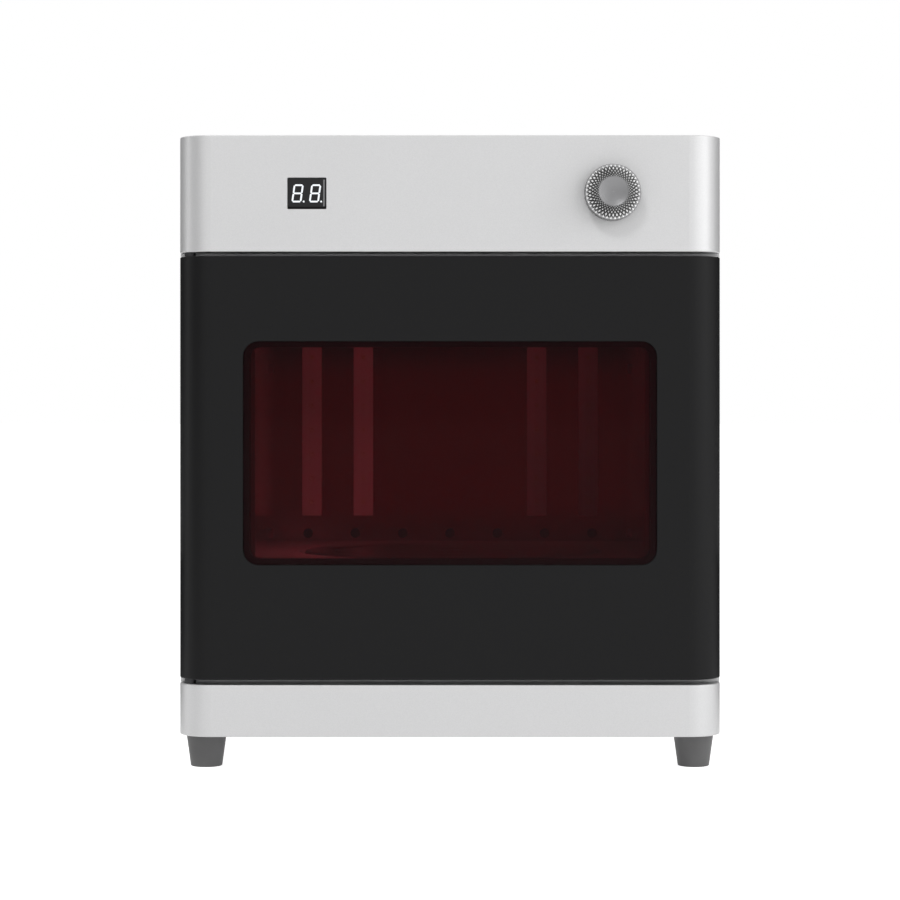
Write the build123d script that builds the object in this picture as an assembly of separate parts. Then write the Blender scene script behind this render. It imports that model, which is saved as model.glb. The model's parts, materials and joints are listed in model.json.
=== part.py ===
from build123d import *
import math
import os

# Bench-top light curing unit: a sheet-metal cabinet on four rubber feet, with a
# black swing door and red window, a mirrored curing chamber lit by LED strips, a
# turntable, a rear fan, a two-digit display and one push-and-turn knob.
# Millimetres. X to the right, Y to the back, Z up; z = 0 is the table, and the
# door faces -Y.

# ---------------------------------------------------------------- driving sizes
width = 290.0
depth = 300.0
height = 338.0
corner_radius = 18.0        # upright corners of base, door and top, in plan
sheet = 1.5                 # casing and chamber sheet
edge_round = 0.6            # folded edges of the painted sheet
sheet_gap = 0.2             # between sheets that slide together
running_gap = 0.05          # radial, shaft in bush
clear_gap = 0.3             # between pieces that must never rub

foot_height = 18.2
foot_top_d = 21.6
foot_bottom_d = 17.0
foot_inset_x = 13.5         # foot centre from the side of the cabinet
foot_inset_y = 25.0         # foot centre from front and back
foot_seat_z = 7.0           # where the screw's head sits in the foot
foot_seat_d = 8.0
foot_soft = 0.4             # broken edge at the foot's bottom
foot_collar = 1.2           # straight band at the foot's top
foot_screw_length = 26.0
deck_screw_length = 9.0

base_height = 27.6
top_height = 62.0
base_bay = 64.2             # from the base up to the chamber's floor
roof_bay = 24.0             # from the chamber's roof up to the top housing
rear_bay = 54.5             # from behind the chamber to the back
post_d = 10.0
post_bite = 16.0            # depth of a post's screw hole
cable_hole_d = 18.0
cable_hole_spread = 60.0    # holes from the middle of a deck
door_gap_bottom = 2.7
door_gap_top = 2.2
door_depth = 16.0
door_side_gap = 3.3         # door back to the front edge of the body
hinge_inset_x = 6.0         # hinge pin from the left side
hinge_inset_y = 5.0         # hinge pin from the back of the door
hinge_pin_d = 3.0
hinge_pin_bite = 12.0       # pin inside the door
hinge_shoulder_d = 6.0
hinge_block_height = 14.0
hinge_reach = 6.0           # half the block's depth

window_side = 35.0          # bare door beside, above and below the window
window_above = 45.3
window_below = 61.0
window_radius = 8.5
window_lap = 9.0            # hidden border of the pane behind the door skin
window_thick = 3.0
window_recess = 0.3
window_gap = 0.4            # dark line round the pane
pane_seat = 0.6             # foam tape between skin and pane
glazing_lap = 3.0           # liner and collar inside the window's edge

chamber_side = 40.0         # chamber wall from the cabinet's side
shelf_flange = 12.0
vent_hole_d = 6.0
vent_pitch = 29.5
vent_margin = 14.0          # vent holes from the chamber's side walls
vent_rise = 5.0             # vent holes above the floor
wall_screw_y = 140.0        # reflector's screws from the front
wall_screw_low = 10.0       # above the floor
wall_screw_high = 36.0      # below the roof

well_margin = 17.0          # well from the nearest walls
well_depth = 6.0
platter_gap = 4.0           # all round the platter
platter_thick = 3.0
platter_proud = 0.5         # platter above the chamber floor
groove_width = 1.2
groove_depth = 0.5
table_shaft_d = 6.0
table_bush_d = 10.0
bush_flange = 1.0
bush_flange_d = 16.0
motor_d = 50.0
motor_height = 20.0
motor_boss_d = 14.0
motor_boss_h = 3.0
ear_d = 9.0
ear_reach = 5.0             # ear's screw from the motor's can
ear_thick = 1.2
hub_d = 30.0
hub_boss_d = 14.0

strip_width = 12.0
strip_thick = 1.6
strip_inset = 19.0          # outer strips from the chamber's side walls
strip_pitch = 32.0          # inner strips from the outer ones
strip_below = 16.0          # bare wall under and over the strips
strip_above = 4.0
chip_size = 3.5
chip_thick = 1.2
chip_pitch = 15.0
roof_board_w = 150.0
roof_board_l = 100.0
roof_chip_rows = 4
roof_chip_columns = 5
sink_base = 4.0
sink_fin = 1.6
sink_pitch = 9.6
sink_fan_gap = 4.5          # fins from the fan's frame
roof_fin_height = 12.0

knob_inset = 59.0           # knob centre from the right side
knob_d = 29.6
knob_reach = 15.0           # knob front from the front panel
knob_gap = 1.0              # knob back from the front panel
knob_travel = 0.6
knob_rim = 8.0              # smooth rim behind the flutes
knob_dish_d = 16.2
knob_dish_depth = 1.4
knob_land = 0.2             # flat ring between dish and flutes
knob_ledge = 0.4            # rim outside the flutes
knob_soft = 0.3             # broken edges of the rim
knob_nut_z = 2.4            # room for the encoder's nut, from the knob's back
knob_bush_z = 5.0           # room for the encoder's bush, from the knob's back
knob_grip_z = 10.0          # blind end of the shaft's bore, from the knob's back
knurl_count = 40            # flutes each way round
knurl_skew = 24.0           # degrees round the knob from one end of a flute to the other
knurl_depth = 0.6
encoder_shaft_d = 6.0
encoder_bush_d = 7.0
encoder_bush_reach = 4.5    # in front of the panel
encoder_body_size = 12.4
encoder_nut_af = 10.0
encoder_nut_thick = 2.0

display_inset = 69.0        # display centre from the left side
display_width = 20.2
display_height = 16.2
display_recess = 0.3
digit_height = 9.6
digit_width = 5.3
digit_pitch = 9.3
digit_stroke = 0.9
digit_slant = 8.0           # degrees
digit_gap = 0.15
digit_thick = 0.4
digit_shift = -0.3          # figures from the middle of the display
dot_d = 1.0
dot_reach = 1.25            # decimal point from the foot of its figure

board_back = 9.0            # control board behind the front panel's face
board_thick = 1.6
board_inset_left = 43.0
board_inset_right = 37.0
board_height = 42.0
standoff_inset = 5.0        # from the board's edges
standoff_d = 6.0

fan_size = 80.0
fan_thick = 25.0
fan_bore_d = 76.0
fan_hub_d = 34.0
fan_hole_pitch = 71.5
fan_hole_d = 4.3
fan_blades = 7
fan_lift = 20.0             # fan centre above the middle of the back
fan_shaft_d = 3.0
hub_plate = 4.0
strut_width = 3.2
guard_radii = (8.0, 15.0, 22.0, 29.0, 36.0)
guard_wire = 1.8

inlet_inset = 53.0          # inlet centre from the rear panel's edge
inlet_rise = 32.0           # inlet centre above the base
inlet_flange_w = 59.0
inlet_flange_h = 31.0
inlet_body_w = 47.0
inlet_body_h = 27.0
inlet_depth = 26.0
inlet_flange_thick = 1.6
socket_w = 24.0
socket_h = 16.4
socket_depth = 17.0
socket_dx = 10.5            # socket centre from the module's centre
rocker_dx = -13.5
rocker_w = 19.0
rocker_h = 12.4
rocker_swing = 20.0         # degrees
trunnion_d = 2.4
trunnion_reach = 1.4        # each end beyond the rocker

scoop_depth_x = 13.0
scoop_depth_y = 15.0
scoop_height = 66.0
scoop_wall = 1.5
scoop_round = 6.0

rear_return = 22.0          # side panels turn this far onto the back
rear_lap = 10.0             # rear panel behind those returns
rear_screw_inset = 12.0     # from the top and bottom of the back

door_screw_left = 19.0      # from the door's hinge side
door_screw_right = 11.0
door_screw_inset = 12.0     # from the door's top and bottom
seal_out = 8.0              # door seal, outside the chamber's mouth
seal_in = 3.0
magnet_d = 8.0
magnet_inset_x = 17.0
magnet_inset_z = 32.0
strike_thick = 1.0
switch_side = 13.0          # interlock from the chamber's wall
switch_rise = 10.0          # above the chamber's roof
plunger_d = 4.0
plunger_travel = 2.5

screw_head_d = 5.6
screw_head_h = 1.6
screw_shank_d = 3.0

# -------------------------------------------------------------- derived places
rear_reach = screw_head_h + 0.4         # fan screw heads behind the rear corners
front_y = -(depth + knob_reach + rear_reach) / 2 + knob_reach
rear_y = front_y + depth
mid_y = (front_y + rear_y) / 2
half_w = width / 2
inner_half_w = half_w - sheet
base_z0 = foot_height
base_z1 = base_z0 + base_height
top_z1 = height
top_z0 = top_z1 - top_height
mid_z = (base_z1 + top_z0) / 2
door_z0 = base_z1 + door_gap_bottom
door_z1 = top_z0 - door_gap_top
door_back_y = front_y + door_depth
body_front_y = door_back_y + door_side_gap
liner_front_y = body_front_y + sheet
window_width = width - 2 * window_side
window_z0 = door_z0 + window_below
window_height = door_z1 - window_above - window_z0
window_center_z = window_z0 + window_height / 2
half_chamber = half_w - chamber_side
chamber_floor_z = base_z1 + base_bay
chamber_roof_z = top_z0 - roof_bay
shelf_y1 = rear_y - rear_bay
chamber_rear_y = shelf_y1 - sheet
chamber_mid_z = (chamber_floor_z + chamber_roof_z) / 2
mouth_w = 2 * half_chamber
mouth_h = chamber_roof_z - chamber_floor_z
table_y = (liner_front_y + chamber_rear_y) / 2
hinge_x = -half_w + hinge_inset_x
hinge_y = door_back_y - hinge_inset_y
control_z = top_z0 + top_height / 2
display_x = -half_w + display_inset
knob_x = half_w - knob_inset
rear_panel_y1 = rear_y - sheet
rear_panel_y0 = rear_panel_y1 - sheet
rear_panel_half = half_w - corner_radius - rear_return + rear_lap
rear_screw_x = rear_panel_half - rear_lap / 2
fan_z = mid_z + fan_lift
fan_rim_y = rear_panel_y0 - fan_thick
inlet_x = rear_panel_half - inlet_inset
inlet_z = base_z1 + inlet_rise


# --------------------------------------------------------------------- helpers
def save(name, *solids):
    """Write one piece, or a group of like pieces, as parts/NAME.step."""
    shape = solids[0] if len(solids) == 1 else Compound(children=list(solids))
    shape.label = name
    export_step(shape, f"parts/{name}.step")


def block(x0, x1, y0, y1, z0, z1):
    """A box from its two corners."""
    place = Pos((x0 + x1) / 2, (y0 + y1) / 2, (z0 + z1) / 2)
    return place * Box(x1 - x0, y1 - y0, z1 - z0)


def rod_z(x, y, z0, z1, d):
    """An upright cylinder."""
    return Pos(x, y, (z0 + z1) / 2) * Cylinder(d / 2, z1 - z0)


def rod_y(x, z, y0, y1, d):
    """A cylinder that runs from front to back."""
    return Pos(x, (y0 + y1) / 2, z) * Rot(90, 0, 0) * Cylinder(d / 2, y1 - y0)


def rod_x(y, z, x0, x1, d):
    """A cylinder that runs from left to right."""
    return Pos((x0 + x1) / 2, y, z) * Rot(0, 90, 0) * Cylinder(d / 2, x1 - x0)


def bore_d(shaft_d):
    """Bore that a shaft runs in."""
    return shaft_d + 2 * running_gap


def plan(inset=0.0):
    """The cabinet's outline seen from above, which base, door and top share."""
    size = RectangleRounded(width - 2 * inset, depth - 2 * inset, corner_radius - inset)
    return Pos(0, mid_y) * size


def slab(outline, z0, z1):
    """A flat outline, given in plan, raised from z0 to z1."""
    return Pos(0, 0, z0) * extrude(outline, z1 - z0)


def front_plate(outline, y0, y1):
    """A flat outline, given in X and Z, made into a plate from y0 to y1."""
    return Pos(0, y1, 0) * extrude(Plane.XZ * outline, y1 - y0)


def frame_outline(center_z, w, h, radius):
    """A rounded rectangle in X and Z."""
    return Pos(0, center_z) * RectangleRounded(w, h, radius)


def corners(dx, dy):
    """The four sign combinations of a pair of distances."""
    return [(sx * dx, sy * dy) for sx in (-1, 1) for sy in (-1, 1)]


def spread(pitch, count):
    """Places of a row of like things, either side of zero."""
    return [(i - (count - 1) / 2) * pitch for i in range(count)]


def fitting(room, pitch):
    """How many things at this pitch go into a length."""
    return int(room / pitch) + 1


def pan_screw(place, length, head_d=screw_head_d, shank_d=screw_shank_d):
    """A pan-head screw whose head stands on place's XY plane and whose shank goes down."""
    head = Pos(0, 0, screw_head_h / 2) * Cylinder(head_d / 2, screw_head_h)
    head = fillet(head.edges().group_by(Axis.Z)[-1], screw_head_h * 0.45)
    slot_len, slot_w, slot_depth = head_d * 0.55, 0.8, 0.7
    head -= Pos(0, 0, screw_head_h) * Box(slot_len, slot_w, 2 * slot_depth)
    head -= Pos(0, 0, screw_head_h) * Box(slot_w, slot_len, 2 * slot_depth)
    shank = Pos(0, 0, -length / 2) * Cylinder(shank_d / 2, length)
    return place * (head + shank)


# ------------------------------------------------------------------- the base
foot_spots = [(x, mid_y + y) for x, y in corners(half_w - foot_inset_x, depth / 2 - foot_inset_y)]


def make_base_tray():
    """Folded pan with a post over each foot and air slots in its floor."""
    outer = slab(plan(), base_z0, base_z1)
    rims = outer.edges().group_by(Axis.Z)
    outer = fillet(rims[0] + rims[-1], edge_round)
    tray = outer - slab(plan(sheet), base_z0 + sheet, base_z1)
    deck_under = base_z1 - sheet
    for x, y in foot_spots:
        tray += rod_z(x, y, base_z0 + sheet, deck_under, post_d)
    for x, y in foot_spots:
        tray -= rod_z(x, y, base_z0 - 1, deck_under + 1, screw_shank_d)
    slot_pitch, slot_count, slot_len, slot_w, slot_back = 14.0, 9, 60.0, 4.0, 40.0
    rows = []
    for x in spread(slot_pitch, slot_count):
        rows.append(Pos(x, mid_y + slot_back) * SlotOverall(slot_len, slot_w, rotation=90))
    tray -= slab(Sketch() + rows, base_z0 - 1, base_z0 + sheet + 1)
    return tray


def make_deck(z0, z1):
    """A plate that closes the base or the top band, with the hinge pin's hole."""
    deck = slab(plan(sheet + sheet_gap), z0, z1)
    deck -= rod_z(hinge_x, hinge_y, z0 - 1, z1 + 1, hinge_pin_d)
    for x, y in foot_spots:
        deck -= rod_z(x, y, z0 - 1, z1 + 1, screw_shank_d)
    for x, y in corners(cable_hole_spread, cable_hole_spread):
        deck -= rod_z(x, mid_y + y, z0 - 1, z1 + 1, cable_hole_d)
    return deck


def make_foot(x, y):
    """Tapered rubber foot with a counterbore for its screw."""
    r_top, r_bottom = foot_top_d / 2, foot_bottom_d / 2
    bore, seat, seat_z = screw_shank_d / 2, foot_seat_d / 2, foot_seat_z
    with BuildPart() as foot:
        with BuildSketch(Plane.XZ):
            with BuildLine():
                Polyline((bore, seat_z), (seat, seat_z), (seat, 0), (r_bottom - foot_soft, 0),
                         (r_bottom, foot_soft), (r_top, foot_height - foot_collar),
                         (r_top, foot_height), (bore, foot_height), close=True)
            make_face()
        revolve(axis=Axis.Z)
    return Pos(x, y, 0) * foot.part


def make_foot_screws():
    """One long screw up through each foot into its post."""
    screws = []
    for x, y in foot_spots:
        place = Pos(x, y, foot_seat_z) * Rot(180, 0, 0)
        screws.append(pan_screw(place, foot_screw_length, head_d=7.0))
    return screws


save("base_tray", make_base_tray())
save("base_deck", make_deck(base_z1 - sheet, base_z1))
foot_names = ["foot_front_left", "foot_rear_left", "foot_front_right", "foot_rear_right"]
for foot_name, (foot_x, foot_y) in zip(foot_names, foot_spots):
    save(foot_name, make_foot(foot_x, foot_y))
save("foot_screws", *make_foot_screws())


# ------------------------------------------------------------- the top housing
encoder_hole_d = encoder_bush_d + 0.3


def make_top_cover():
    """Folded lid with the display window, the encoder's hole and four posts."""
    outer = slab(plan(), top_z0, top_z1)
    rims = outer.edges().group_by(Axis.Z)
    outer = fillet(rims[0] + rims[-1], edge_round)
    cover = outer - slab(plan(sheet), top_z0, top_z1 - sheet)
    for x, y in foot_spots:
        cover += rod_z(x, y, top_z0 + sheet, top_z1 - sheet, post_d)
        cover -= rod_z(x, y, top_z0, top_z0 + post_bite, screw_shank_d)
    window = RectangleRounded(display_width + 2 * clear_gap, display_height + 2 * clear_gap, 0.6)
    cover -= front_plate(Pos(display_x, control_z) * window, front_y - 1, front_y + sheet + 1)
    cover -= rod_y(knob_x, control_z, front_y - 1, front_y + sheet + 1, encoder_hole_d)
    return cover


def make_deck_screws():
    """Screws that hold the two decks to the posts."""
    screws = []
    for x, y in foot_spots:
        screws.append(pan_screw(Pos(x, y, top_z0) * Rot(180, 0, 0), deck_screw_length))
        screws.append(pan_screw(Pos(x, y, base_z1), deck_screw_length))
    return screws


save("top_cover", make_top_cover())
save("top_deck", make_deck(top_z0, top_z0 + sheet))


# ------------------------------------------------------- sides, back and frame
scoop_x0 = half_w - scoop_depth_x
scoop_y1 = door_back_y + scoop_depth_y
magnet_spots = [(half_w - magnet_inset_x, z) for z in (door_z0 + magnet_inset_z, door_z1 - magnet_inset_z)]
plunger_x = half_chamber + switch_side
plunger_z = chamber_roof_z + switch_rise
rear_screw_rows = (base_z1 + rear_screw_inset, mid_z, top_z0 - rear_screw_inset)


def scoop_box(grow):
    """The finger scoop's cavity, grown by a wall on its closed sides."""
    half = scoop_height / 2 + grow
    return block(scoop_x0 - grow, half_w, body_front_y, scoop_y1 + grow, mid_z - half, mid_z + half)


def side_slots(side):
    """Upright air slots low in the flat of a side panel."""
    slot_len, slot_w, slot_pitch, slot_count, slot_back, slot_rise = 40.0, 3.0, 9.0, 12, 30.0, 32.0
    slots = []
    for y in spread(slot_pitch, slot_count):
        place = Pos(table_y + slot_back + y, base_z1 + slot_rise)
        slots.append(place * SlotOverall(slot_len, slot_w, rotation=90))
    bar = extrude(Plane.YZ * (Sketch() + slots), 4)
    return Pos(side * half_w - 2, 0, 0) * bar


def make_side_panel(side):
    """One side with its rounded rear corner, rear return and two fold flanges."""
    x_far = half_w + 1
    x_near = half_w - corner_radius - rear_return
    reach = Rectangle(x_far - x_near, rear_y + 1 - body_front_y)
    keep = Pos(side * (x_far + x_near) / 2, (body_front_y + rear_y + 1) / 2) * reach
    panel = slab((plan() - plan(sheet)) & keep, base_z1, top_z0)
    flange_w, flange_y0, flange_y1 = 10.0, body_front_y + 15, rear_y - 34
    for z in (base_z1, top_z0 - sheet):
        flange = block(half_w - sheet - flange_w, half_w - sheet / 2, flange_y0, flange_y1, z, z + sheet)
        panel += flange if side > 0 else mirror(flange, Plane.YZ)
    panel -= side_slots(side)
    if side > 0:
        half = scoop_height / 2 + scoop_wall
        panel -= block(half_w - 5, half_w + 5, body_front_y - 5, scoop_y1 + scoop_wall,
                       mid_z - half, mid_z + half)
    for z in rear_screw_rows:
        panel -= rod_y(side * rear_screw_x, z, rear_y - 5, rear_y + 5, screw_shank_d)
    return panel


def make_scoop():
    """Moulded finger pocket behind the door's free edge, open to front and side."""
    cup = scoop_box(scoop_wall)
    cavity = scoop_box(0)
    cavity += Pos(2, -2, 0) * scoop_box(0)
    back_edge = cavity.edges().filter_by(Axis.Z).sort_by(lambda e: e.center().X - e.center().Y)[0]
    return cup - fillet(back_edge, scoop_round)


def make_rear_panel():
    """Service panel with the fan's hole, the inlet's hole and rows of air slots."""
    panel = block(-rear_panel_half, rear_panel_half, rear_panel_y0, rear_panel_y1, base_z1, top_z0)
    y0, y1 = rear_panel_y0 - 1, rear_panel_y1 + 1
    panel -= rod_y(0, fan_z, y0, y1, fan_bore_d)
    for x, z in corners(fan_hole_pitch / 2, fan_hole_pitch / 2):
        panel -= rod_y(x, fan_z + z, y0, y1, fan_hole_d)
    panel -= front_plate(Pos(inlet_x, inlet_z) * Rectangle(inlet_body_w, inlet_body_h), y0, y1)
    slot_w, row_pitch = 3.5, 12.0
    top_slot, top_pitch, top_margin, top_drop = 18.0, 24.0, 34.0, 27.0
    low_slot, low_inset = 56.0, 55.0
    slots = []
    for z in spread(row_pitch, 2):
        for x in spread(top_pitch, fitting(2 * (rear_panel_half - top_margin), top_pitch)):
            slots.append(Pos(x, top_z0 - top_drop + z) * SlotOverall(top_slot, slot_w))
    for z in spread(row_pitch, 3):
        slots.append(Pos(low_inset - rear_panel_half, inlet_z + z) * SlotOverall(low_slot, slot_w))
    panel -= front_plate(Sketch() + slots, y0, y1)
    for side in (-1, 1):
        for z in rear_screw_rows:
            panel -= rod_y(side * rear_screw_x, z, y0, y1, screw_shank_d)
    return panel


def make_rear_screws():
    """Screws through the side panels' returns into the rear panel."""
    screws = []
    for side in (-1, 1):
        for z in rear_screw_rows:
            screws.append(pan_screw(Pos(side * rear_screw_x, rear_y, z) * Rot(-90, 0, 0), 5))
    return screws


def make_front_frame():
    """Plate behind the door, with the chamber's mouth and the scoop's cut-out."""
    outline = frame_outline(mid_z, 2 * inner_half_w, top_z0 - base_z1, 0.5)
    outline -= frame_outline(chamber_mid_z, mouth_w, mouth_h, 3)
    frame = front_plate(outline, body_front_y, liner_front_y)
    frame -= scoop_box(scoop_wall) + Pos(5, -5, 0) * scoop_box(scoop_wall)
    for x, z in magnet_spots:
        frame -= rod_y(x, z, body_front_y - 1, liner_front_y + 1, magnet_d)
    frame -= rod_y(plunger_x, plunger_z, body_front_y - 1, liner_front_y + 1, plunger_d + 2 * clear_gap)
    return frame


save("side_panel_left", make_side_panel(-1))
save("side_panel_right", make_side_panel(1))
save("finger_scoop", make_scoop())
save("rear_panel", make_rear_panel())
save("front_frame", make_front_frame())


# --------------------------------------------------------- the curing chamber
well_d = min(mouth_w, chamber_rear_y - liner_front_y) - 2 * well_margin
well_floor_z = chamber_floor_z - well_depth
well_under_z = well_floor_z - sheet
motor_top_z = well_under_z - motor_boss_h
ear_r = motor_d / 2 + ear_reach
strip_half = half_chamber - strip_inset
strip_x = (-strip_half, strip_pitch - strip_half, strip_half - strip_pitch, strip_half)
strip_z0 = chamber_floor_z + strip_below
strip_z1 = chamber_roof_z - strip_above
wall_screw_spots = [(front_y + wall_screw_y, z)
                    for z in (chamber_floor_z + wall_screw_low, chamber_roof_z - wall_screw_high)]


def make_chamber_floor():
    """Shelf with folded sides and a round well that the turntable sits in."""
    z1 = chamber_floor_z
    shelf = block(-inner_half_w, inner_half_w, liner_front_y, shelf_y1, z1 - sheet, z1)
    for side in (-1, 1):
        x = side * (inner_half_w - sheet / 2)
        shelf += block(x - sheet / 2, x + sheet / 2, liner_front_y, shelf_y1, z1 - shelf_flange, z1)
    shelf += rod_z(0, table_y, well_under_z, z1, well_d + 2 * sheet)
    shelf -= rod_z(0, table_y, well_floor_z, z1 + 1, well_d)
    shelf -= rod_z(0, table_y, well_under_z - 1, well_floor_z + 1, table_bush_d)
    for side in (-1, 1):
        shelf -= rod_z(side * ear_r, table_y, well_under_z - 1, well_floor_z + 1, screw_shank_d)
    return shelf


def make_chamber_roof():
    """Shelf over the chamber, folded up at both sides."""
    z0 = chamber_roof_z
    roof = block(-inner_half_w, inner_half_w, liner_front_y, shelf_y1, z0, z0 + sheet)
    for side in (-1, 1):
        x = side * (inner_half_w - sheet / 2)
        roof += block(x - sheet / 2, x + sheet / 2, liner_front_y, shelf_y1, z0, z0 + shelf_flange)
    return roof


def make_reflector():
    """Polished sheet folded round both sides and the back of the chamber."""
    outer = half_chamber + sheet
    wrap = block(-outer, outer, liner_front_y, shelf_y1, chamber_floor_z, chamber_roof_z)
    wrap -= block(-half_chamber, half_chamber, liner_front_y - 1, chamber_rear_y,
                  chamber_floor_z - 1, chamber_roof_z + 1)
    for x in spread(vent_pitch, fitting(mouth_w - 2 * vent_margin, vent_pitch)):
        wrap -= rod_y(x, chamber_floor_z + vent_rise, chamber_rear_y - 1, shelf_y1 + 1, vent_hole_d)
    for y, z in wall_screw_spots:
        wrap -= rod_x(y, z, -outer - 1, outer + 1, screw_shank_d)
    return wrap


def make_reflector_screws():
    """Screws through the reflector's sides, with their heads in the chamber."""
    screws = []
    for side in (-1, 1):
        for y, z in wall_screw_spots:
            screws.append(pan_screw(Pos(side * half_chamber, y, z) * Rot(0, -side * 90, 0), 6))
    return screws


def make_strips():
    """Four upright LED strips on the chamber's rear wall."""
    half = strip_width / 2
    y0 = chamber_rear_y - strip_thick
    return [block(x - half, x + half, y0, chamber_rear_y, strip_z0, strip_z1) for x in strip_x]


def make_chips():
    """Square LED chips on the strips and on the roof board."""
    chips = []
    half = chip_size / 2
    y1 = chamber_rear_y - strip_thick
    column = fitting(strip_z1 - strip_z0 - chip_pitch, chip_pitch)
    for x in strip_x:
        for step in spread(chip_pitch, column):
            z = (strip_z0 + strip_z1) / 2 + step
            chips.append(block(x - half, x + half, y1 - chip_thick, y1, z - half, z + half))
    z1 = chamber_roof_z - strip_thick
    for x in spread(roof_board_w / roof_chip_columns, roof_chip_columns):
        for step in spread(roof_board_l / roof_chip_rows, roof_chip_rows):
            y = table_y + step
            chips.append(block(x - half, x + half, y - half, y + half, z1 - chip_thick, z1))
    return chips


def finned(span, root, fin):
    """Section of an extruded heat sink: a flat base with fins along one side."""
    section = Pos(0, root + sink_base / 2) * Rectangle(span, sink_base)
    for x in spread(sink_pitch, fitting(span - sink_fin, sink_pitch)):
        section += Pos(x, root + sink_base + fin / 2) * Rectangle(sink_fin, fin)
    return section


def make_rear_heat_sink():
    """Extruded finned bar behind the strips."""
    span = 2 * strip_half + 1.5 * strip_width
    fin = fan_rim_y - sink_fan_gap - shelf_y1 - sink_base
    return slab(finned(span, shelf_y1, fin), strip_z0, strip_z1)


def make_roof_heat_sink():
    """Extruded finned bar over the roof board."""
    half = roof_board_l / 2
    section = finned(roof_board_w, chamber_roof_z + sheet, roof_fin_height)
    return front_plate(section, table_y - half, table_y + half)


save("chamber_floor", make_chamber_floor())
save("chamber_roof", make_chamber_roof())
save("reflector", make_reflector())
save("led_strips", *make_strips())
save("roof_led_board", block(-roof_board_w / 2, roof_board_w / 2, table_y - roof_board_l / 2,
                             table_y + roof_board_l / 2, chamber_roof_z - strip_thick, chamber_roof_z))
save("led_chips", *make_chips())
save("rear_heat_sink", make_rear_heat_sink())
save("roof_heat_sink", make_roof_heat_sink())


# ---------------------------------------------------------------- the turntable
platter_top_z = chamber_floor_z + platter_proud
platter_under_z = platter_top_z - platter_thick
hub_z0 = well_floor_z + bush_flange + clear_gap
platter_d = well_d - 2 * platter_gap
shaft_top_z = platter_top_z - 1


def make_table_bush():
    """Flanged brass bush pressed into the well's floor."""
    bush = rod_z(0, table_y, well_under_z, well_floor_z + bush_flange, table_bush_d)
    bush += rod_z(0, table_y, well_floor_z, well_floor_z + bush_flange, bush_flange_d)
    return bush - rod_z(0, table_y, 0, height, bore_d(table_shaft_d))


def make_motor():
    """Flat geared motor with a boss round its shaft and two ears."""
    can = rod_z(0, table_y, motor_top_z - motor_height, motor_top_z, motor_d)
    can = fillet(can.edges().group_by(Axis.Z)[0], 1.5)
    for side in (-1, 1):
        x = side * ear_r
        ear = Pos(x, table_y) * SlotOverall(2 * ear_d, ear_d)
        can += slab(ear, motor_top_z - ear_thick, motor_top_z)
        can += rod_z(x, table_y, motor_top_z, well_under_z, ear_d - 2)
        can -= rod_z(x, table_y, motor_top_z - ear_thick - 1, well_under_z + 1, screw_shank_d)
    can += rod_z(0, table_y, motor_top_z, well_under_z, motor_boss_d)
    return can - rod_z(0, table_y, motor_top_z - motor_height / 2, height, bore_d(table_shaft_d))


def make_motor_screws():
    """Two screws up through the motor's ears."""
    length = well_floor_z - (motor_top_z - ear_thick)
    spots = [Pos(side * ear_r, table_y, motor_top_z - ear_thick) for side in (-1, 1)]
    return [pan_screw(spot * Rot(180, 0, 0), length) for spot in spots]


def make_table_shaft():
    """Steel shaft from the motor up into the hub."""
    return rod_z(0, table_y, motor_top_z - motor_height / 2 + 1, shaft_top_z, table_shaft_d)


def make_hub():
    """Disc that carries the lift-off platter on its boss."""
    hub = rod_z(0, table_y, hub_z0, platter_under_z, hub_d)
    hub += rod_z(0, table_y, platter_under_z, platter_top_z - 0.5, hub_boss_d)
    return hub - rod_z(0, table_y, 0, shaft_top_z, table_shaft_d)


def make_platter():
    """Polished disc with two turned grooves and a hole for the hub's boss."""
    disc = rod_z(0, table_y, platter_under_z, platter_top_z, platter_d)
    disc = chamfer(disc.edges().group_by(Axis.Z)[-1], 0.6)
    for groove_d in (platter_d * 0.45, platter_d * 0.8):
        ring = rod_z(0, table_y, platter_top_z - groove_depth, platter_top_z + 1, groove_d + groove_width)
        disc -= ring - rod_z(0, table_y, platter_under_z, platter_top_z + 2, groove_d - groove_width)
    return disc - rod_z(0, table_y, 0, height, hub_boss_d)


save("table_bush", make_table_bush())
save("table_motor", make_motor())
save("chamber_screws", *make_reflector_screws(), *make_motor_screws())
save("table_shaft", make_table_shaft())
save("platter_hub", make_hub())
save("turntable_platter", make_platter())


# --------------------------------------------------------------------- the door
pane_y0 = front_y + sheet + pane_seat
pane_y1 = pane_y0 + window_thick
liner_y0 = door_back_y - sheet
glazing = frame_outline(window_center_z, window_width - 2 * glazing_lap, window_height - 2 * glazing_lap,
                        window_radius - glazing_lap)
pane_border = frame_outline(window_center_z, window_width + 2 * window_lap, window_height + 2 * window_lap,
                            window_radius)
door_screw_rows = (door_z0 + door_screw_inset, door_z1 - door_screw_inset)
door_screw_spots = [(door_screw_left - half_w, z) for z in (*door_screw_rows, mid_z)]
scoop_clear_z = mid_z + scoop_height / 2 + door_screw_inset
door_screw_spots += [(half_w - door_screw_right, z) for z in (*door_screw_rows, scoop_clear_z)]


def door_outline(inset):
    """The cabinet's outline, cut off at the back of the door."""
    return plan(inset) & Pos(0, front_y) * Rectangle(width + 2, 2 * door_depth)


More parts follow.
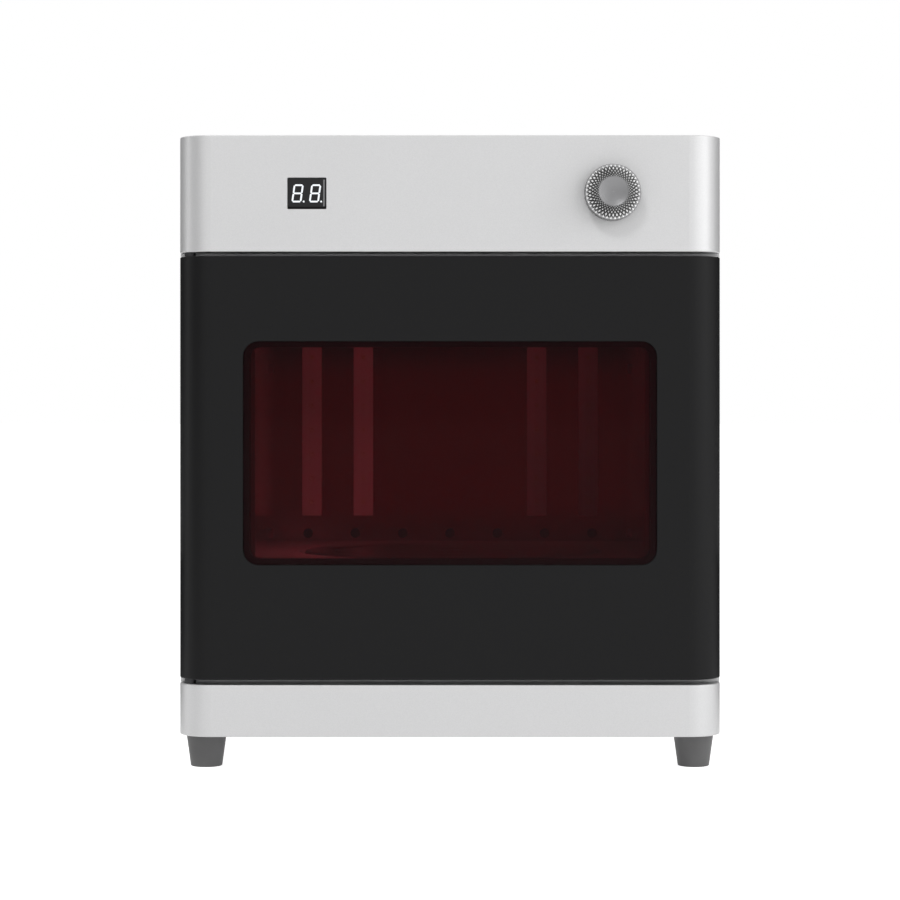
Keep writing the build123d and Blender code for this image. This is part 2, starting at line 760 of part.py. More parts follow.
def make_door_shell():
    """Black folded skin that wraps both front corners, open at the back."""
    outer = slab(door_outline(0), door_z0, door_z1)
    layers = outer.edges().group_by(Axis.Z)
    rims = [e for e in layers[0] + layers[-1] if e.center().Y < door_back_y - 0.5]
    outer = fillet(rims, edge_round)
    room = plan(sheet) & Pos(0, front_y) * Rectangle(width + 2, 2 * door_depth + 2)
    shell = outer - slab(room, door_z0 + sheet, door_z1 - sheet)
    cut = frame_outline(window_center_z, window_width, window_height, window_radius)
    shell -= front_plate(cut, front_y - 1, front_y + sheet + 1)
    pin_way = hinge_pin_d + 1.2
    shell -= rod_z(hinge_x, hinge_y, door_z0 - 1, door_z0 + sheet + 1, pin_way)
    shell -= rod_z(hinge_x, hinge_y, door_z1 - sheet - 1, door_z1 + 1, pin_way)
    return shell


def make_door_liner():
    """Flat back of the door, with the glazing's opening."""
    room = plan(sheet + sheet_gap) & Pos(0, front_y) * Rectangle(width + 2, 2 * door_depth)
    skin = room - Pos(0, front_y) * Rectangle(width + 2, 2 * (door_depth - sheet))
    liner = slab(skin, door_z0 + sheet + sheet_gap, door_z1 - sheet - sheet_gap)
    liner -= front_plate(glazing, liner_y0 - 1, door_back_y + 1)
    for x, z in door_screw_spots:
        liner -= rod_y(x, z, liner_y0 - 1, door_back_y + 1, screw_shank_d)
    return liner


def make_window():
    """Red pane with a raised centre that fills the skin's cut-out."""
    raised = frame_outline(window_center_z, window_width - 2 * window_gap,
                           window_height - 2 * window_gap, window_radius - window_gap)
    return front_plate(pane_border, pane_y0, pane_y1) + front_plate(raised, front_y + window_recess, pane_y0)


def make_gasket():
    """Thin foam tape between the skin and the pane's border."""
    inside = frame_outline(window_center_z, window_width + 2, window_height + 2, window_radius + 1)
    return front_plate(pane_border - inside, front_y + sheet, pane_y0)


def make_surround():
    """Moulded collar that holds the pane off the liner."""
    return front_plate(pane_border - glazing, pane_y1, liner_y0)


def make_door_seal():
    """Rubber ring on the liner that meets the frame round the chamber's mouth."""
    ring = frame_outline(chamber_mid_z, mouth_w + 2 * seal_out, mouth_h + 2 * seal_out, seal_out + 1)
    ring -= frame_outline(chamber_mid_z, mouth_w + 2 * seal_in, mouth_h + 2 * seal_in, seal_in + 1)
    return front_plate(ring, door_back_y, body_front_y - clear_gap)


def hinge_room(z0, z1):
    """The corner of the door's inside that a hinge block fills."""
    corner = plan(sheet) & Pos(-half_w, liner_y0 - hinge_reach) * Rectangle(4 * hinge_reach, 2 * hinge_reach)
    return slab(corner, z0, z1) - rod_z(hinge_x, hinge_y, z0 - 1, z1 + 1, bore_d(hinge_pin_d))


def make_hinge_blocks():
    """Two slippery plastic blocks that turn on the hinge pins."""
    low = door_z0 + sheet
    high = door_z1 - sheet
    return [hinge_room(low, low + hinge_block_height), hinge_room(high - hinge_block_height, high)]


def make_hinge_pins():
    """Two shouldered steel pins on one upright line."""
    low = rod_z(hinge_x, hinge_y, base_z1 - sheet, door_z0 + hinge_pin_bite, hinge_pin_d)
    low += rod_z(hinge_x, hinge_y, base_z1, door_z0 - clear_gap, hinge_shoulder_d)
    high = rod_z(hinge_x, hinge_y, door_z1 - hinge_pin_bite, top_z0 + sheet, hinge_pin_d)
    high += rod_z(hinge_x, hinge_y, door_z1 + clear_gap, top_z0, hinge_shoulder_d)
    return [low, high]


def make_door_screws():
    """Screws that close the liner onto the skin's flanges."""
    return [pan_screw(Pos(x, door_back_y, z) * Rot(-90, 0, 0), 6) for x, z in door_screw_spots]


def make_strikes():
    """Steel discs on the liner that the magnets hold."""
    return [rod_y(x, z, door_back_y, door_back_y + strike_thick, magnet_d + 3) for x, z in magnet_spots]


def make_magnets():
    """Round magnets set in the front frame."""
    y0 = door_back_y + strike_thick + clear_gap
    return [rod_y(x, z, y0, liner_front_y + 2, magnet_d) for x, z in magnet_spots]


save("door_shell", make_door_shell())
save("door_liner", make_door_liner())
save("door_window", make_window())
save("window_gasket", make_gasket())
save("window_surround", make_surround())
save("door_seal", make_door_seal())
save("hinge_blocks", *make_hinge_blocks())
save("hinge_pins", *make_hinge_pins())
save("door_screws", *make_door_screws())
save("strike_plates", *make_strikes())
save("catch_magnets", *make_magnets())


# -------------------------------------------------------------- door interlock
plunger_well = 10.5


def make_switch():
    """Small switch behind the frame whose bore guides the plunger."""
    switch_w, switch_h, switch_l = 20.0, 12.0, 14.0
    body = block(plunger_x - switch_w / 2, plunger_x + switch_w / 2, liner_front_y, liner_front_y + switch_l,
                 plunger_z - switch_h / 2, plunger_z + switch_h / 2)
    well_y1 = liner_front_y + plunger_well
    return body - rod_y(plunger_x, plunger_z, liner_front_y - 1, well_y1, bore_d(plunger_d))


def make_plunger():
    """Rod that the closed door holds in."""
    rear = liner_front_y + plunger_well - plunger_travel + clear_gap
    rod = rod_y(plunger_x, plunger_z, door_back_y + clear_gap, rear, plunger_d)
    return fillet(rod.edges().group_by(Axis.Y)[0], 1)


save("interlock_switch", make_switch())
save("interlock_plunger", make_plunger())


# ----------------------------------------------------------- display and boards
board_y0 = front_y + board_back
board_y1 = board_y0 + board_thick
board_x0, board_x1 = board_inset_left - half_w, half_w - board_inset_right
standoff_spots = [(x, control_z + side * (board_height / 2 - standoff_inset))
                  for x in (board_x0 + standoff_inset, board_x1 - standoff_inset) for side in (-1, 1)]


def digit_outlines(center_x):
    """Seven slanted segments and a decimal point of one figure, in X and Z."""
    w, h, t = digit_width, digit_height, digit_stroke
    lean = math.tan(math.radians(digit_slant))
    half = h / 2
    bar_len = w - t - 2 * digit_gap
    post_len = half - t / 2 - 2 * digit_gap
    shapes = []
    for level in (-1, 0, 1):
        z = level * (half - t / 2)
        shapes.append(Pos(center_x + z * lean, control_z + z) * SlotOverall(bar_len, t))
    for side in (-1, 1):
        for level in (-1, 1):
            z = level * (half - t / 2) / 2
            place = Pos(center_x + side * (w - t) / 2 + z * lean, control_z + z)
            shapes.append(place * Rot(0, 0, -digit_slant) * SlotOverall(post_len, t, rotation=90))
    dot_x = center_x + w / 2 + dot_reach - half * lean
    shapes.append(Pos(dot_x, control_z - half + t / 2) * Circle(dot_d / 2))
    return shapes


def digit_solids(y0, y1):
    """Both figures as thin plates."""
    solids = []
    for side in (-1, 1):
        for outline in digit_outlines(display_x + side * digit_pitch / 2 + digit_shift):
            solids.append(front_plate(outline, y0, y1))
    return solids


def make_display():
    """Moulded two-digit module whose lit segments are set in its face."""
    y0 = front_y + display_recess
    face = Pos(display_x, control_z) * Rectangle(display_width, display_height)
    module = front_plate(face, y0, board_y0)
    return module - digit_solids(y0 - 1, y0 + digit_thick)


def make_control_board():
    """Circuit board across the top housing, behind its front."""
    half = board_height / 2
    board = block(board_x0, board_x1, board_y0, board_y1, control_z - half, control_z + half)
    for x, z in standoff_spots:
        board -= rod_y(x, z, board_y0 - 1, board_y1 + 1, screw_shank_d)
    return board


def board_block(x, dz, w, h, reach):
    """A part on the back of the control board, from its left edge and middle height."""
    z = control_z + dz
    return block(board_x0 + x, board_x0 + x + w, board_y1, board_y1 + reach, z - h / 2, z + h / 2)


def board_can(x, dz, d, reach):
    """A round part on the back of the control board."""
    return rod_y(board_x0 + x, control_z + dz, board_y1, board_y1 + reach, d)


def make_board_parts():
    """Relays, capacitors, chip, plugs and buzzer on the back of the control board."""
    relays = [board_block(x, 0, 19, 16, 15) for x in (10, 36)]
    capacitors = [board_can(x, 6, 10, 16) for x in (66, 79, 92)]
    plugs = [board_block(x, -12.5, w, 7, 9) for x, w in ((62, 32), (142, 26))]
    chip = board_block(106, 2, 26, 14, 3)
    buzzer = board_can(152, 8, 12, 8)
    return relays + capacitors + plugs + [chip, buzzer]


def make_standoffs():
    """Spacers from the front panel to the control board."""
    return [rod_y(x, z, front_y + sheet, board_y0, standoff_d) for x, z in standoff_spots]


def make_driver():
    """LED supply on the top deck: board, transformer, capacitors and heat sink."""
    board_w, board_l, leg, dx, dy = 130.0, 90.0, 6.0, 5.0, 30.0
    deck_z = top_z0 + sheet
    top = leg + board_thick
    parts = [block(-board_w / 2, board_w / 2, -board_l / 2, board_l / 2, leg, top)]
    parts += [rod_z(x, y, 0, leg, standoff_d) for x, y in corners(board_w / 2 - 6, board_l / 2 - 6)]
    parts += [block(-53, -21, -20, 14, top, top + 24), block(-47, -27, -26, 20, top + 3, top + 21)]
    parts += [block(35, 41, -36, 30, top, top + 28)]
    parts += [rod_z(x, 24, leg, top + 25, 16) for x in (-7, 13)]
    parts += [rod_z(x, -26, leg, top + 16, 10) for x in (-9, 5, 19)]
    parts += [block(49, 61, -28, 28, top, top + 12)]
    driver = parts[0]
    for piece in parts[1:]:
        driver += piece
    return Pos(dx, mid_y + dy, deck_z) * driver


save("display_module", make_display())
save("display_digits", *digit_solids(front_y + display_recess, front_y + display_recess + digit_thick))
save("control_board", make_control_board())
save("board_parts", *make_board_parts())
save("board_standoffs", *make_standoffs())
save("led_driver", make_driver())


# ----------------------------------------------------------- encoder and knob
encoder_y0 = front_y + sheet
encoder_bore_y1 = board_y0 - 0.8
shaft_inner_y = front_y + 5.5
plunger_len = encoder_bore_y1 - shaft_inner_y - knob_travel - clear_gap


def make_encoder():
    """Square encoder body with a bush out through the panel."""
    half = encoder_body_size / 2
    body = block(knob_x - half, knob_x + half, encoder_y0, board_y0, control_z - half, control_z + half)
    body = fillet(body.edges().filter_by(Axis.Y), 0.8)
    body += rod_y(knob_x, control_z, front_y - encoder_bush_reach, encoder_y0, encoder_bush_d)
    return body - rod_y(knob_x, control_z, front_y - 6, encoder_bore_y1, bore_d(encoder_shaft_d))


def make_encoder_nut():
    """Hexagon nut that clamps the encoder to the panel, hidden by the knob."""
    hexagon = RegularPolygon(encoder_nut_af / 2, 6, major_radius=False) - Circle(encoder_bush_d / 2)
    return front_plate(Pos(knob_x, control_z) * hexagon, front_y - encoder_nut_thick, front_y)


knob_tip = knob_reach - knob_gap                # knob front above its own back
cone_r0 = knob_d / 2 - knob_ledge
cone_r1 = knob_dish_d / 2 + knob_land


def knob_cone():
    """Cone above the rim, in flats that meet on the flutes, to be cut and bored."""
    sides = 2 * knurl_count
    low = Pos(0, 0, knob_rim) * RegularPolygon(cone_r0, sides)
    high = Pos(0, 0, knob_tip) * RegularPolygon(cone_r1, sides)
    return loft([low, high], ruled=True)


def knob_base():
    """Smooth rim behind the flutes, with broken edges."""
    rim = Pos(0, 0, knob_rim / 2) * Cylinder(knob_d / 2, knob_rim)
    rims = rim.edges().group_by(Axis.Z)
    return chamfer(rims[0] + rims[-1], knob_soft)


def knob_bores():
    """Room for the shaft, and wider behind it for the encoder's bush and nut."""
    nut_d = encoder_nut_af + 3.2
    steps = ((encoder_shaft_d, knob_grip_z), (encoder_bush_d + 1.4, knob_bush_z), (nut_d, knob_nut_z))
    return [Cylinder(d / 2, 2 * deep) for d, deep in steps]


def flute(turn, skew):
    """One V-shaped cutter that runs up the cone, from turn to turn + skew degrees."""
    a0, a1 = math.radians(turn), math.radians(turn + skew)
    low = Vector(cone_r0 * math.cos(a0), cone_r0 * math.sin(a0), knob_rim)
    high = Vector(cone_r1 * math.cos(a1), cone_r1 * math.sin(a1), knob_tip)
    run = high - low
    halfway = (a0 + a1) / 2
    slope = math.atan2(cone_r0 - cone_r1, knob_tip - knob_rim)
    out = Vector(math.cos(halfway) * math.cos(slope), math.sin(halfway) * math.cos(slope), math.sin(slope))
    run_out = 0.13              # share of the run that the cutter goes past each end
    above = 0.9                 # cutter outside the cone
    section = Plane(origin=low - run * run_out, x_dir=out.cross(run), z_dir=run)
    vee = Polygon((0, -knurl_depth), (knurl_depth + above, above), (-knurl_depth - above, above), align=None)
    return extrude(section * vee, run.length * (1 + 2 * run_out))


def make_knob():
    """Turned knob: smooth rim, cone cut by flutes that cross, and a dished front."""
    cone = knob_cone()
    for skew in (-knurl_skew, knurl_skew):
        cone -= [flute(i * 360 / knurl_count, skew) for i in range(knurl_count)]
    ball_r = ((knob_dish_d / 2) ** 2 + knob_dish_depth ** 2) / (2 * knob_dish_depth)
    cone -= Pos(0, 0, knob_tip - knob_dish_depth + ball_r) * Sphere(ball_r)
    knob = knob_base() + cone - knob_bores()
    return Pos(knob_x, front_y - knob_gap, control_z) * Rot(90, 0, 0) * knob


def make_shaft():
    """Encoder shaft, pressed into the knob at one end."""
    return rod_y(knob_x, control_z, front_y - knob_gap - knob_grip_z, shaft_inner_y, encoder_shaft_d)


def make_encoder_plunger():
    """Button behind the shaft that the knob pushes."""
    return rod_y(knob_x, control_z, shaft_inner_y, shaft_inner_y + plunger_len, encoder_shaft_d)


save("encoder_body", make_encoder())
save("encoder_nut", make_encoder_nut())
save("knob", make_knob())
save("encoder_shaft", make_shaft())
save("encoder_plunger", make_encoder_plunger())


# ------------------------------------------------------------------------- fan
def make_fan_frame():
    """Square fan frame: round duct, hub plate on four struts, bore for the rotor."""
    outline = frame_outline(fan_z, fan_size, fan_size, 4) - Pos(0, fan_z) * Circle(fan_bore_d / 2)
    for x, z in corners(fan_hole_pitch / 2, fan_hole_pitch / 2):
        outline -= Pos(x, fan_z + z) * Circle(screw_shank_d / 2)
    frame = front_plate(outline, fan_rim_y, rear_panel_y0)
    spokes = Pos(0, fan_z) * Circle(fan_hub_d / 2)
    for turn in (0, 90, 180, 270):
        strut = Pos(fan_bore_d / 4, 0) * Rectangle(fan_bore_d / 2 + 1, strut_width)
        spokes += Pos(0, fan_z) * Rot(0, 0, turn + 20) * strut
    spokes &= Pos(0, fan_z) * Circle(fan_bore_d / 2 + 1)
    frame += front_plate(spokes, rear_panel_y0 - hub_plate, rear_panel_y0)
    return frame - rod_y(0, fan_z, fan_rim_y, rear_panel_y0 + 1, bore_d(fan_shaft_d))


def make_blade():
    """One twisted blade, lofted between a steep root and a flat tip."""
    r_hub, r_tip = fan_hub_d / 2 - 1.5, fan_bore_d / 2 - 1.2
    sections = []
    for share, pitch, chord in ((0, 52, 15.0), (0.5, 40, 18.5), (1, 30, 21.0)):
        r = r_hub + share * (r_tip - r_hub)
        lean = math.radians(pitch)
        plane = Plane(origin=(r, 0, 0), x_dir=(0, math.cos(lean), math.sin(lean)), z_dir=(1, 0, 0))
        sections.append(plane * RectangleRounded(chord, 1.3, 0.6))
    return loft(sections)


def make_rotor():
    """Cupped hub with its blades and a shaft that runs in the hub plate."""
    length = fan_thick - hub_plate - 2
    hub = Cylinder(fan_hub_d / 2 - 0.5, length)
    hub = fillet(hub.edges().group_by(Axis.Z)[-1], 2)
    hub -= Pos(0, 0, -3) * Cylinder(fan_hub_d / 2 - 2.5, length - 3)
    hub += Pos(0, 0, -1.5) * Cylinder(5, length - 3)
    blade = make_blade()
    for i in range(fan_blades):
        hub += Rot(0, 0, i * 360 / fan_blades) * blade
    hub &= Cylinder(fan_bore_d / 2 - 1, length)
    hub += Pos(0, 0, -length / 2 - 1.5) * Cylinder(fan_shaft_d / 2, 4)
    middle = fan_rim_y + 1 + length / 2
    return Pos(0, middle, fan_z) * Rot(90, 0, 0) * hub


def make_fan_guard():
    """Flat guard of rings and spokes over the fan's outlet."""
    rings = Pos(0, fan_z) * Circle(guard_radii[0])
    for r in guard_radii[1:]:
        rings += Pos(0, fan_z) * (Circle(r + guard_wire / 2) - Circle(r - guard_wire / 2))
    reach = fan_hole_pitch * math.sqrt(2) / 2
    for turn in (45, 135, 225, 315):
        arm = Pos(0, fan_z) * Rot(0, 0, turn)
        rings += arm * Pos(reach / 2, 0) * Rectangle(reach, guard_wire * 1.3)
        rings += arm * Pos(reach, 0) * Circle(4.2)
    for x, z in corners(fan_hole_pitch / 2, fan_hole_pitch / 2):
        rings -= Pos(x, fan_z + z) * Circle(screw_shank_d / 2)
    return front_plate(rings, rear_panel_y1, rear_y)


def make_fan_screws():
    """Four screws through guard and panel into the fan's frame."""
    spots = corners(fan_hole_pitch / 2, fan_hole_pitch / 2)
    return [pan_screw(Pos(x, rear_y, fan_z + z) * Rot(-90, 0, 0), 12) for x, z in spots]


save("fan_frame", make_fan_frame())
save("fan_rotor", make_rotor())
save("fan_guard", make_fan_guard())
save("casing_screws", *make_deck_screws(), *make_rear_screws(), *make_fan_screws())


# ---------------------------------------------------------- mains inlet, supply
socket_x = inlet_x + socket_dx
rocker_x = inlet_x + rocker_dx
flange_y1 = rear_panel_y1 + inlet_flange_thick
rocker_pivot_y = flange_y1 - 4.0
trunnion_half = rocker_h / 2 + trunnion_reach
supply_inset = 17.0
supply_rear_y = shelf_y1 + 12.5


def make_inlet():
    """Moulded panel inlet: earthed socket on one side, rocker's well on the other."""
    module = front_plate(frame_outline(inlet_z, inlet_flange_w, inlet_flange_h, 3), rear_panel_y1, flange_y1)
    module = Pos(inlet_x, 0, 0) * fillet(module.edges().group_by(Axis.Y)[-1], 0.6)
    body = Pos(inlet_x, inlet_z) * Rectangle(inlet_body_w - sheet_gap, inlet_body_h - sheet_gap)
    module += front_plate(body, flange_y1 - inlet_depth, rear_panel_y1)
    mouth = Pos(socket_x, inlet_z) * Rectangle(socket_w, socket_h)
    hole = extrude(Plane.XZ * mouth, socket_depth + 1)
    hole = Pos(0, flange_y1 + 1, 0) * hole
    upper = hole.edges().filter_by(Axis.Y).group_by(Axis.Z)[-1]
    module -= chamfer(upper, 4.5)
    well = Pos(rocker_x, inlet_z) * Rectangle(rocker_w + 2 * clear_gap, rocker_h + 2 * clear_gap)
    module -= front_plate(well, flange_y1 - 14, flange_y1 + 1)
    reach = trunnion_half + sheet_gap
    return module - rod_z(rocker_x, rocker_pivot_y, inlet_z - reach, inlet_z + reach, bore_d(trunnion_d))


def make_inlet_pins():
    """Three flat contacts that stand in the socket."""
    y0, y1 = flange_y1 - socket_depth, flange_y1 - 2.5
    spots = ((socket_x - 7, inlet_z - 1), (socket_x + 7, inlet_z - 1), (socket_x, inlet_z + 3))
    return [block(x - 1, x + 1, y0, y1, z - 2, z + 2) for x, z in spots]


def make_rocker():
    """Switch rocker, tipped to its off side, on two short trunnions."""
    swing_r = rocker_w / 2
    with BuildSketch() as side:
        with BuildLine():
            Polyline((-swing_r - 1, 6.5), (0, 3.4), (swing_r + 1, 6.5), (swing_r + 1, -3.5),
                     (-swing_r - 1, -3.5), close=True)
        make_face()
    shape = side.sketch & Circle(swing_r)
    rocker = extrude(shape, rocker_h / 2, both=True) + Cylinder(trunnion_d / 2, 2 * trunnion_half)
    return Pos(rocker_x, rocker_pivot_y, inlet_z) * Rot(0, 0, -rocker_swing / 2) * rocker


def make_power_supply():
    """Caged mains supply on the base deck: folded cage, terminal strip, slotted top."""
    cage_w, cage_l, cage_h, lip = 106.0, 88.0, 32.0, 4.0
    step_w, step_h = 14.0, 8.0
    slot_len, slot_w, slot_depth, slot_pitch, slot_count = 60.0, 3.0, 1.2, 8.0, 9
    terminal_w, terminal_l, terminal_h, terminal_pitch, terminals = 11.0, 8.0, 9.0, 11.0, 7
    cage = block(0, cage_w, 0, cage_l, 0, cage_h)
    cage -= block(cage_w - step_w, cage_w + 1, lip, cage_l - lip, step_h, cage_h + 1)
    slots = []
    for x in spread(slot_pitch, slot_count):
        place = Pos((cage_w - step_w) / 2 + x, cage_l / 2)
        slots.append(place * SlotOverall(slot_len, slot_w, rotation=90))
    cage -= slab(Sketch() + slots, cage_h - slot_depth, cage_h + 1)
    for y in spread(terminal_pitch, terminals):
        y0 = (cage_l - terminal_l) / 2 + y
        cage += block(cage_w - step_w + 1, cage_w - step_w + 1 + terminal_w, y0, y0 + terminal_l,
                      step_h, step_h + terminal_h)
    return Pos(supply_inset - half_w, supply_rear_y - cage_l, base_z1) * cage


save("inlet_module", make_inlet())
save("inlet_pins", *make_inlet_pins())
save("power_rocker", make_rocker())
save("power_supply", make_power_supply())
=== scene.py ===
import json
import math

import bmesh
import bpy
from mathutils import Matrix, Vector


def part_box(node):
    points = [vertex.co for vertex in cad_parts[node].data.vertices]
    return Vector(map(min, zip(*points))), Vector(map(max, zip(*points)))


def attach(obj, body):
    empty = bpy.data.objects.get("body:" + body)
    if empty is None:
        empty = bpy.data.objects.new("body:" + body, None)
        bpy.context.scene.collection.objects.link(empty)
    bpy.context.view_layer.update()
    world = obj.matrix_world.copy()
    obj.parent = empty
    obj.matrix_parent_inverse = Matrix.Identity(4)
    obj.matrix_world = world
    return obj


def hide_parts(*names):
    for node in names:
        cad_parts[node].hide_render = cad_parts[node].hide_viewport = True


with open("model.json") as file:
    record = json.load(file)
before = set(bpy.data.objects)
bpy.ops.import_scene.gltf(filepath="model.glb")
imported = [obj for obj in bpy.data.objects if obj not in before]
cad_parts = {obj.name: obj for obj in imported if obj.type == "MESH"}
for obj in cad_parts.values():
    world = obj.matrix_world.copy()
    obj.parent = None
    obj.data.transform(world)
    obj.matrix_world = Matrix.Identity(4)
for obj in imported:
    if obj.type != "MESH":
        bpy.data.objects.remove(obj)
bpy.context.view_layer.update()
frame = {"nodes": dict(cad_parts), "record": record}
mm = 0.001


# ---------------------------------------------------------------- the studio
# A pale table top in white surroundings. Soft lamps stand at both sides, above, and at
# the upper left, where one throws the knob's shadow; two small ones light the chamber.
# Black cards and a grey one, seen only in reflections, darken the cabinet's edges.
image_size = 900
front_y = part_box("top_cover")[0].y
top_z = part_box("top_cover")[1].z
camera_distance = 1.40
camera_height = 0.193
pixel_size = 0.531 * mm         # on the plane of the front
horizon_pixel = 408
sensor = 36                     # millimetres, as Blender gives it

lens = bpy.data.cameras.new("camera")
lens.sensor_width = sensor
lens.lens = sensor * camera_distance / (pixel_size * image_size)
lens.shift_y = (horizon_pixel - image_size / 2) / image_size
camera = bpy.data.objects.new("camera", lens)
camera.location = (0, front_y - camera_distance, camera_height)
camera.rotation_euler = (math.radians(90), 0, 0)
bpy.context.scene.collection.objects.link(camera)
bpy.context.scene.camera = camera
bpy.context.scene.view_settings.view_transform = "Standard"


class Flow:
    """An output of a node. Sums written with flows add Math nodes."""

    def __init__(self, nodes, socket):
        self.nodes, self.socket = nodes, socket

    def math(self, operation, *values):
        return self.nodes.node("ShaderNodeMath", {"operation": operation}, dict(enumerate(values)))

    def __add__(self, other):
        return self.math("ADD", self, other)

    def __radd__(self, other):
        return self.math("ADD", other, self)

    def __sub__(self, other):
        return self.math("SUBTRACT", self, other)

    def __rsub__(self, other):
        return self.math("SUBTRACT", other, self)

    def __mul__(self, other):
        return self.math("MULTIPLY", self, other)

    def __rmul__(self, other):
        return self.math("MULTIPLY", other, self)

    def __truediv__(self, other):
        return self.math("DIVIDE", self, other)

    def __rtruediv__(self, other):
        return self.math("DIVIDE", other, self)

    def __pow__(self, other):
        return self.math("POWER", self, other)

    def __gt__(self, other):
        return self.math("GREATER_THAN", self, other)

    def __lt__(self, other):
        return self.math("LESS_THAN", self, other)


class Nodes:
    """A node tree to which nodes are added by value."""

    def __init__(self, tree):
        self.tree = tree

    def node(self, kind, settings=None, sockets=None, out=0):
        """Any one node: its settings first, then the values or links of its sockets."""
        made = self.tree.nodes.new(kind)
        for key, value in (settings or {}).items():
            setattr(made, key, value)
        for key, value in (sockets or {}).items():
            self.join(value, made.inputs[key])
        return Flow(self, made.outputs[out])

    def join(self, value, socket):
        if isinstance(value, Flow):
            self.tree.links.new(value.socket, socket)
        elif socket.type == "RGBA":
            socket.default_value = (*value, 1)
        else:
            socket.default_value = value

    def on_show(self):
        """1 for rays from the camera, off metal and through glass, so that all see the white."""
        ray = [self.node("ShaderNodeLightPath", out=name)
               for name in ("Is Camera Ray", "Is Glossy Ray", "Is Transmission Ray")]
        return ray[0].math("MAXIMUM", ray[0], ray[0].math("MAXIMUM", ray[1], ray[2]))


class Finish(Nodes):
    """The nodes of one finish: a Principled shader and what feeds it."""

    def __init__(self, name, colour, roughness, metallic=0.0, **more):
        self.material = bpy.data.materials.new(name)
        self.material.use_nodes = True
        super().__init__(self.material.node_tree)
        self.shader = self.tree.nodes["Principled BSDF"]
        self.place = self.node("ShaderNodeTexCoord", out="Object")
        self.give(colour=colour, roughness=roughness, metallic=metallic, **more)

    def give(self, **values):
        """Set the shader's own sockets, such as roughness or coat_weight."""
        names = {"colour": "Base Color", "glow": "Emission Color", "glow_strength": "Emission Strength",
                 "specular": "Specular IOR Level"}
        for key, value in values.items():
            self.join(value, self.shader.inputs[names.get(key, key.replace("_", " ").title())])

    def mix(self, a, b, share):
        """A colour between two colours."""
        return self.node("ShaderNodeMix", {"data_type": "RGBA"}, {0: share, 6: a, 7: b}, out=2)

    def spot(self, stretch=(1, 1, 1), middle=(0, 0, 0)):
        """Object coordinates, stretched and centred on a place."""
        offset = tuple(-m * s for m, s in zip(middle, stretch))
        return self.node("ShaderNodeMapping", None,
                         {"Vector": self.place, "Location": offset, "Scale": stretch})

    def grain(self, size, detail=2.0, stretch=(1, 1, 1)):
        """Soft noise whose lumps are about this size in metres."""
        return self.node("ShaderNodeTexNoise", None,
                         {"Vector": self.spot(stretch), "Scale": 1 / size, "Detail": detail})

    def flakes(self, size):
        """A random grey for each small cell."""
        cells = self.node("ShaderNodeTexVoronoi", None,
                          {"Vector": self.place, "Scale": 1 / size}, out="Color")
        return self.node("ShaderNodeSeparateColor", None, {0: cells})

    def axis(self, letter, middle=(0, 0, 0)):
        """One coordinate, in metres from a middle."""
        return self.node("ShaderNodeSeparateXYZ", None, {0: self.spot(middle=middle)}, out=letter)

    def relief(self, height, depth):
        """Raise the surface by a height from 0 to 1, at most depth metres."""
        self.give(normal=self.node("ShaderNodeBump", None, {"Height": height, "Distance": depth}))


def card(name, place, turn, width, height, finish, unseen=True):
    """A flat rectangle that stands on its edge, or lies if turn is None. Unseen, it shows
    in reflections only."""
    shape = bmesh.new()
    bmesh.ops.create_grid(shape, x_segments=1, y_segments=1, size=0.5)
    bmesh.ops.scale(shape, verts=shape.verts, vec=(width, height, 1))
    if turn is not None:
        upright = Matrix.Rotation(turn, 3, "Z") @ Matrix.Rotation(math.radians(90), 3, "X")
        bmesh.ops.rotate(shape, verts=shape.verts, cent=(0, 0, 0), matrix=upright)
    bmesh.ops.translate(shape, verts=shape.verts, vec=place)
    mesh = bpy.data.meshes.new(name)
    shape.to_mesh(mesh)
    shape.free()
    mesh.materials.append(finish.material)
    made = bpy.data.objects.new(name, mesh)
    made.visible_camera = made.visible_diffuse = made.visible_shadow = not unseen
    bpy.context.scene.collection.objects.link(made)


def around(azimuth, distance, z):
    """A place at so many degrees to the right of straight in front."""
    turn = math.radians(azimuth)
    return (distance * math.sin(turn), -distance * math.cos(turn), z)


table_top = Finish("table_top", (0.80, 0.80, 0.80), 0.9, specular=0.0, glow=(1.0, 1.0, 1.0))
table_lift = 0.86
table_top.join(table_top.on_show() * table_lift, table_top.shader.inputs["Emission Strength"])
card("floor", (0, 0, 0), None, 60, 60, table_top, unseen=False)

world = bpy.data.worlds.new("surroundings")
bpy.context.scene.world = world
world.use_nodes = True
sky = Nodes(world.node_tree)
sky_light = 0.42
sky.join(sky.on_show() * (1 - sky_light) + sky_light, sky.tree.nodes["Background"].inputs["Strength"])
sky.join((1.0, 1.0, 1.0), sky.tree.nodes["Background"].inputs["Color"])

flag_cloth = Finish("flag_cloth", (0.02, 0.02, 0.02), 0.9, specular=0.0)
side_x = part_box("top_cover")[1].x
tall_flag_turn, low_flag_turn = 128, 148        # degrees
low_flag_out, low_flag_back, low_flag_z = 0.135, 0.21, 0.045
for side, name in ((-1, "left"), (1, "right")):
    far = around(side * tall_flag_turn, 1.4, 0.5)
    card("tall_flag_" + name, far, math.radians(side * tall_flag_turn), 1.5, 1.0, flag_cloth)
    near = (side * (side_x + low_flag_out), front_y + low_flag_back, low_flag_z)
    card("low_flag_" + name, near, math.radians(side * low_flag_turn), 0.30, 0.09, flag_cloth)
screen_turn = -60
screen_cloth = Finish("screen_cloth", (0.26, 0.26, 0.26), 0.9, specular=0.0)
card("left_screen", around(screen_turn, 1.7, 0.55), math.radians(screen_turn), 1.3, 1.3, screen_cloth)


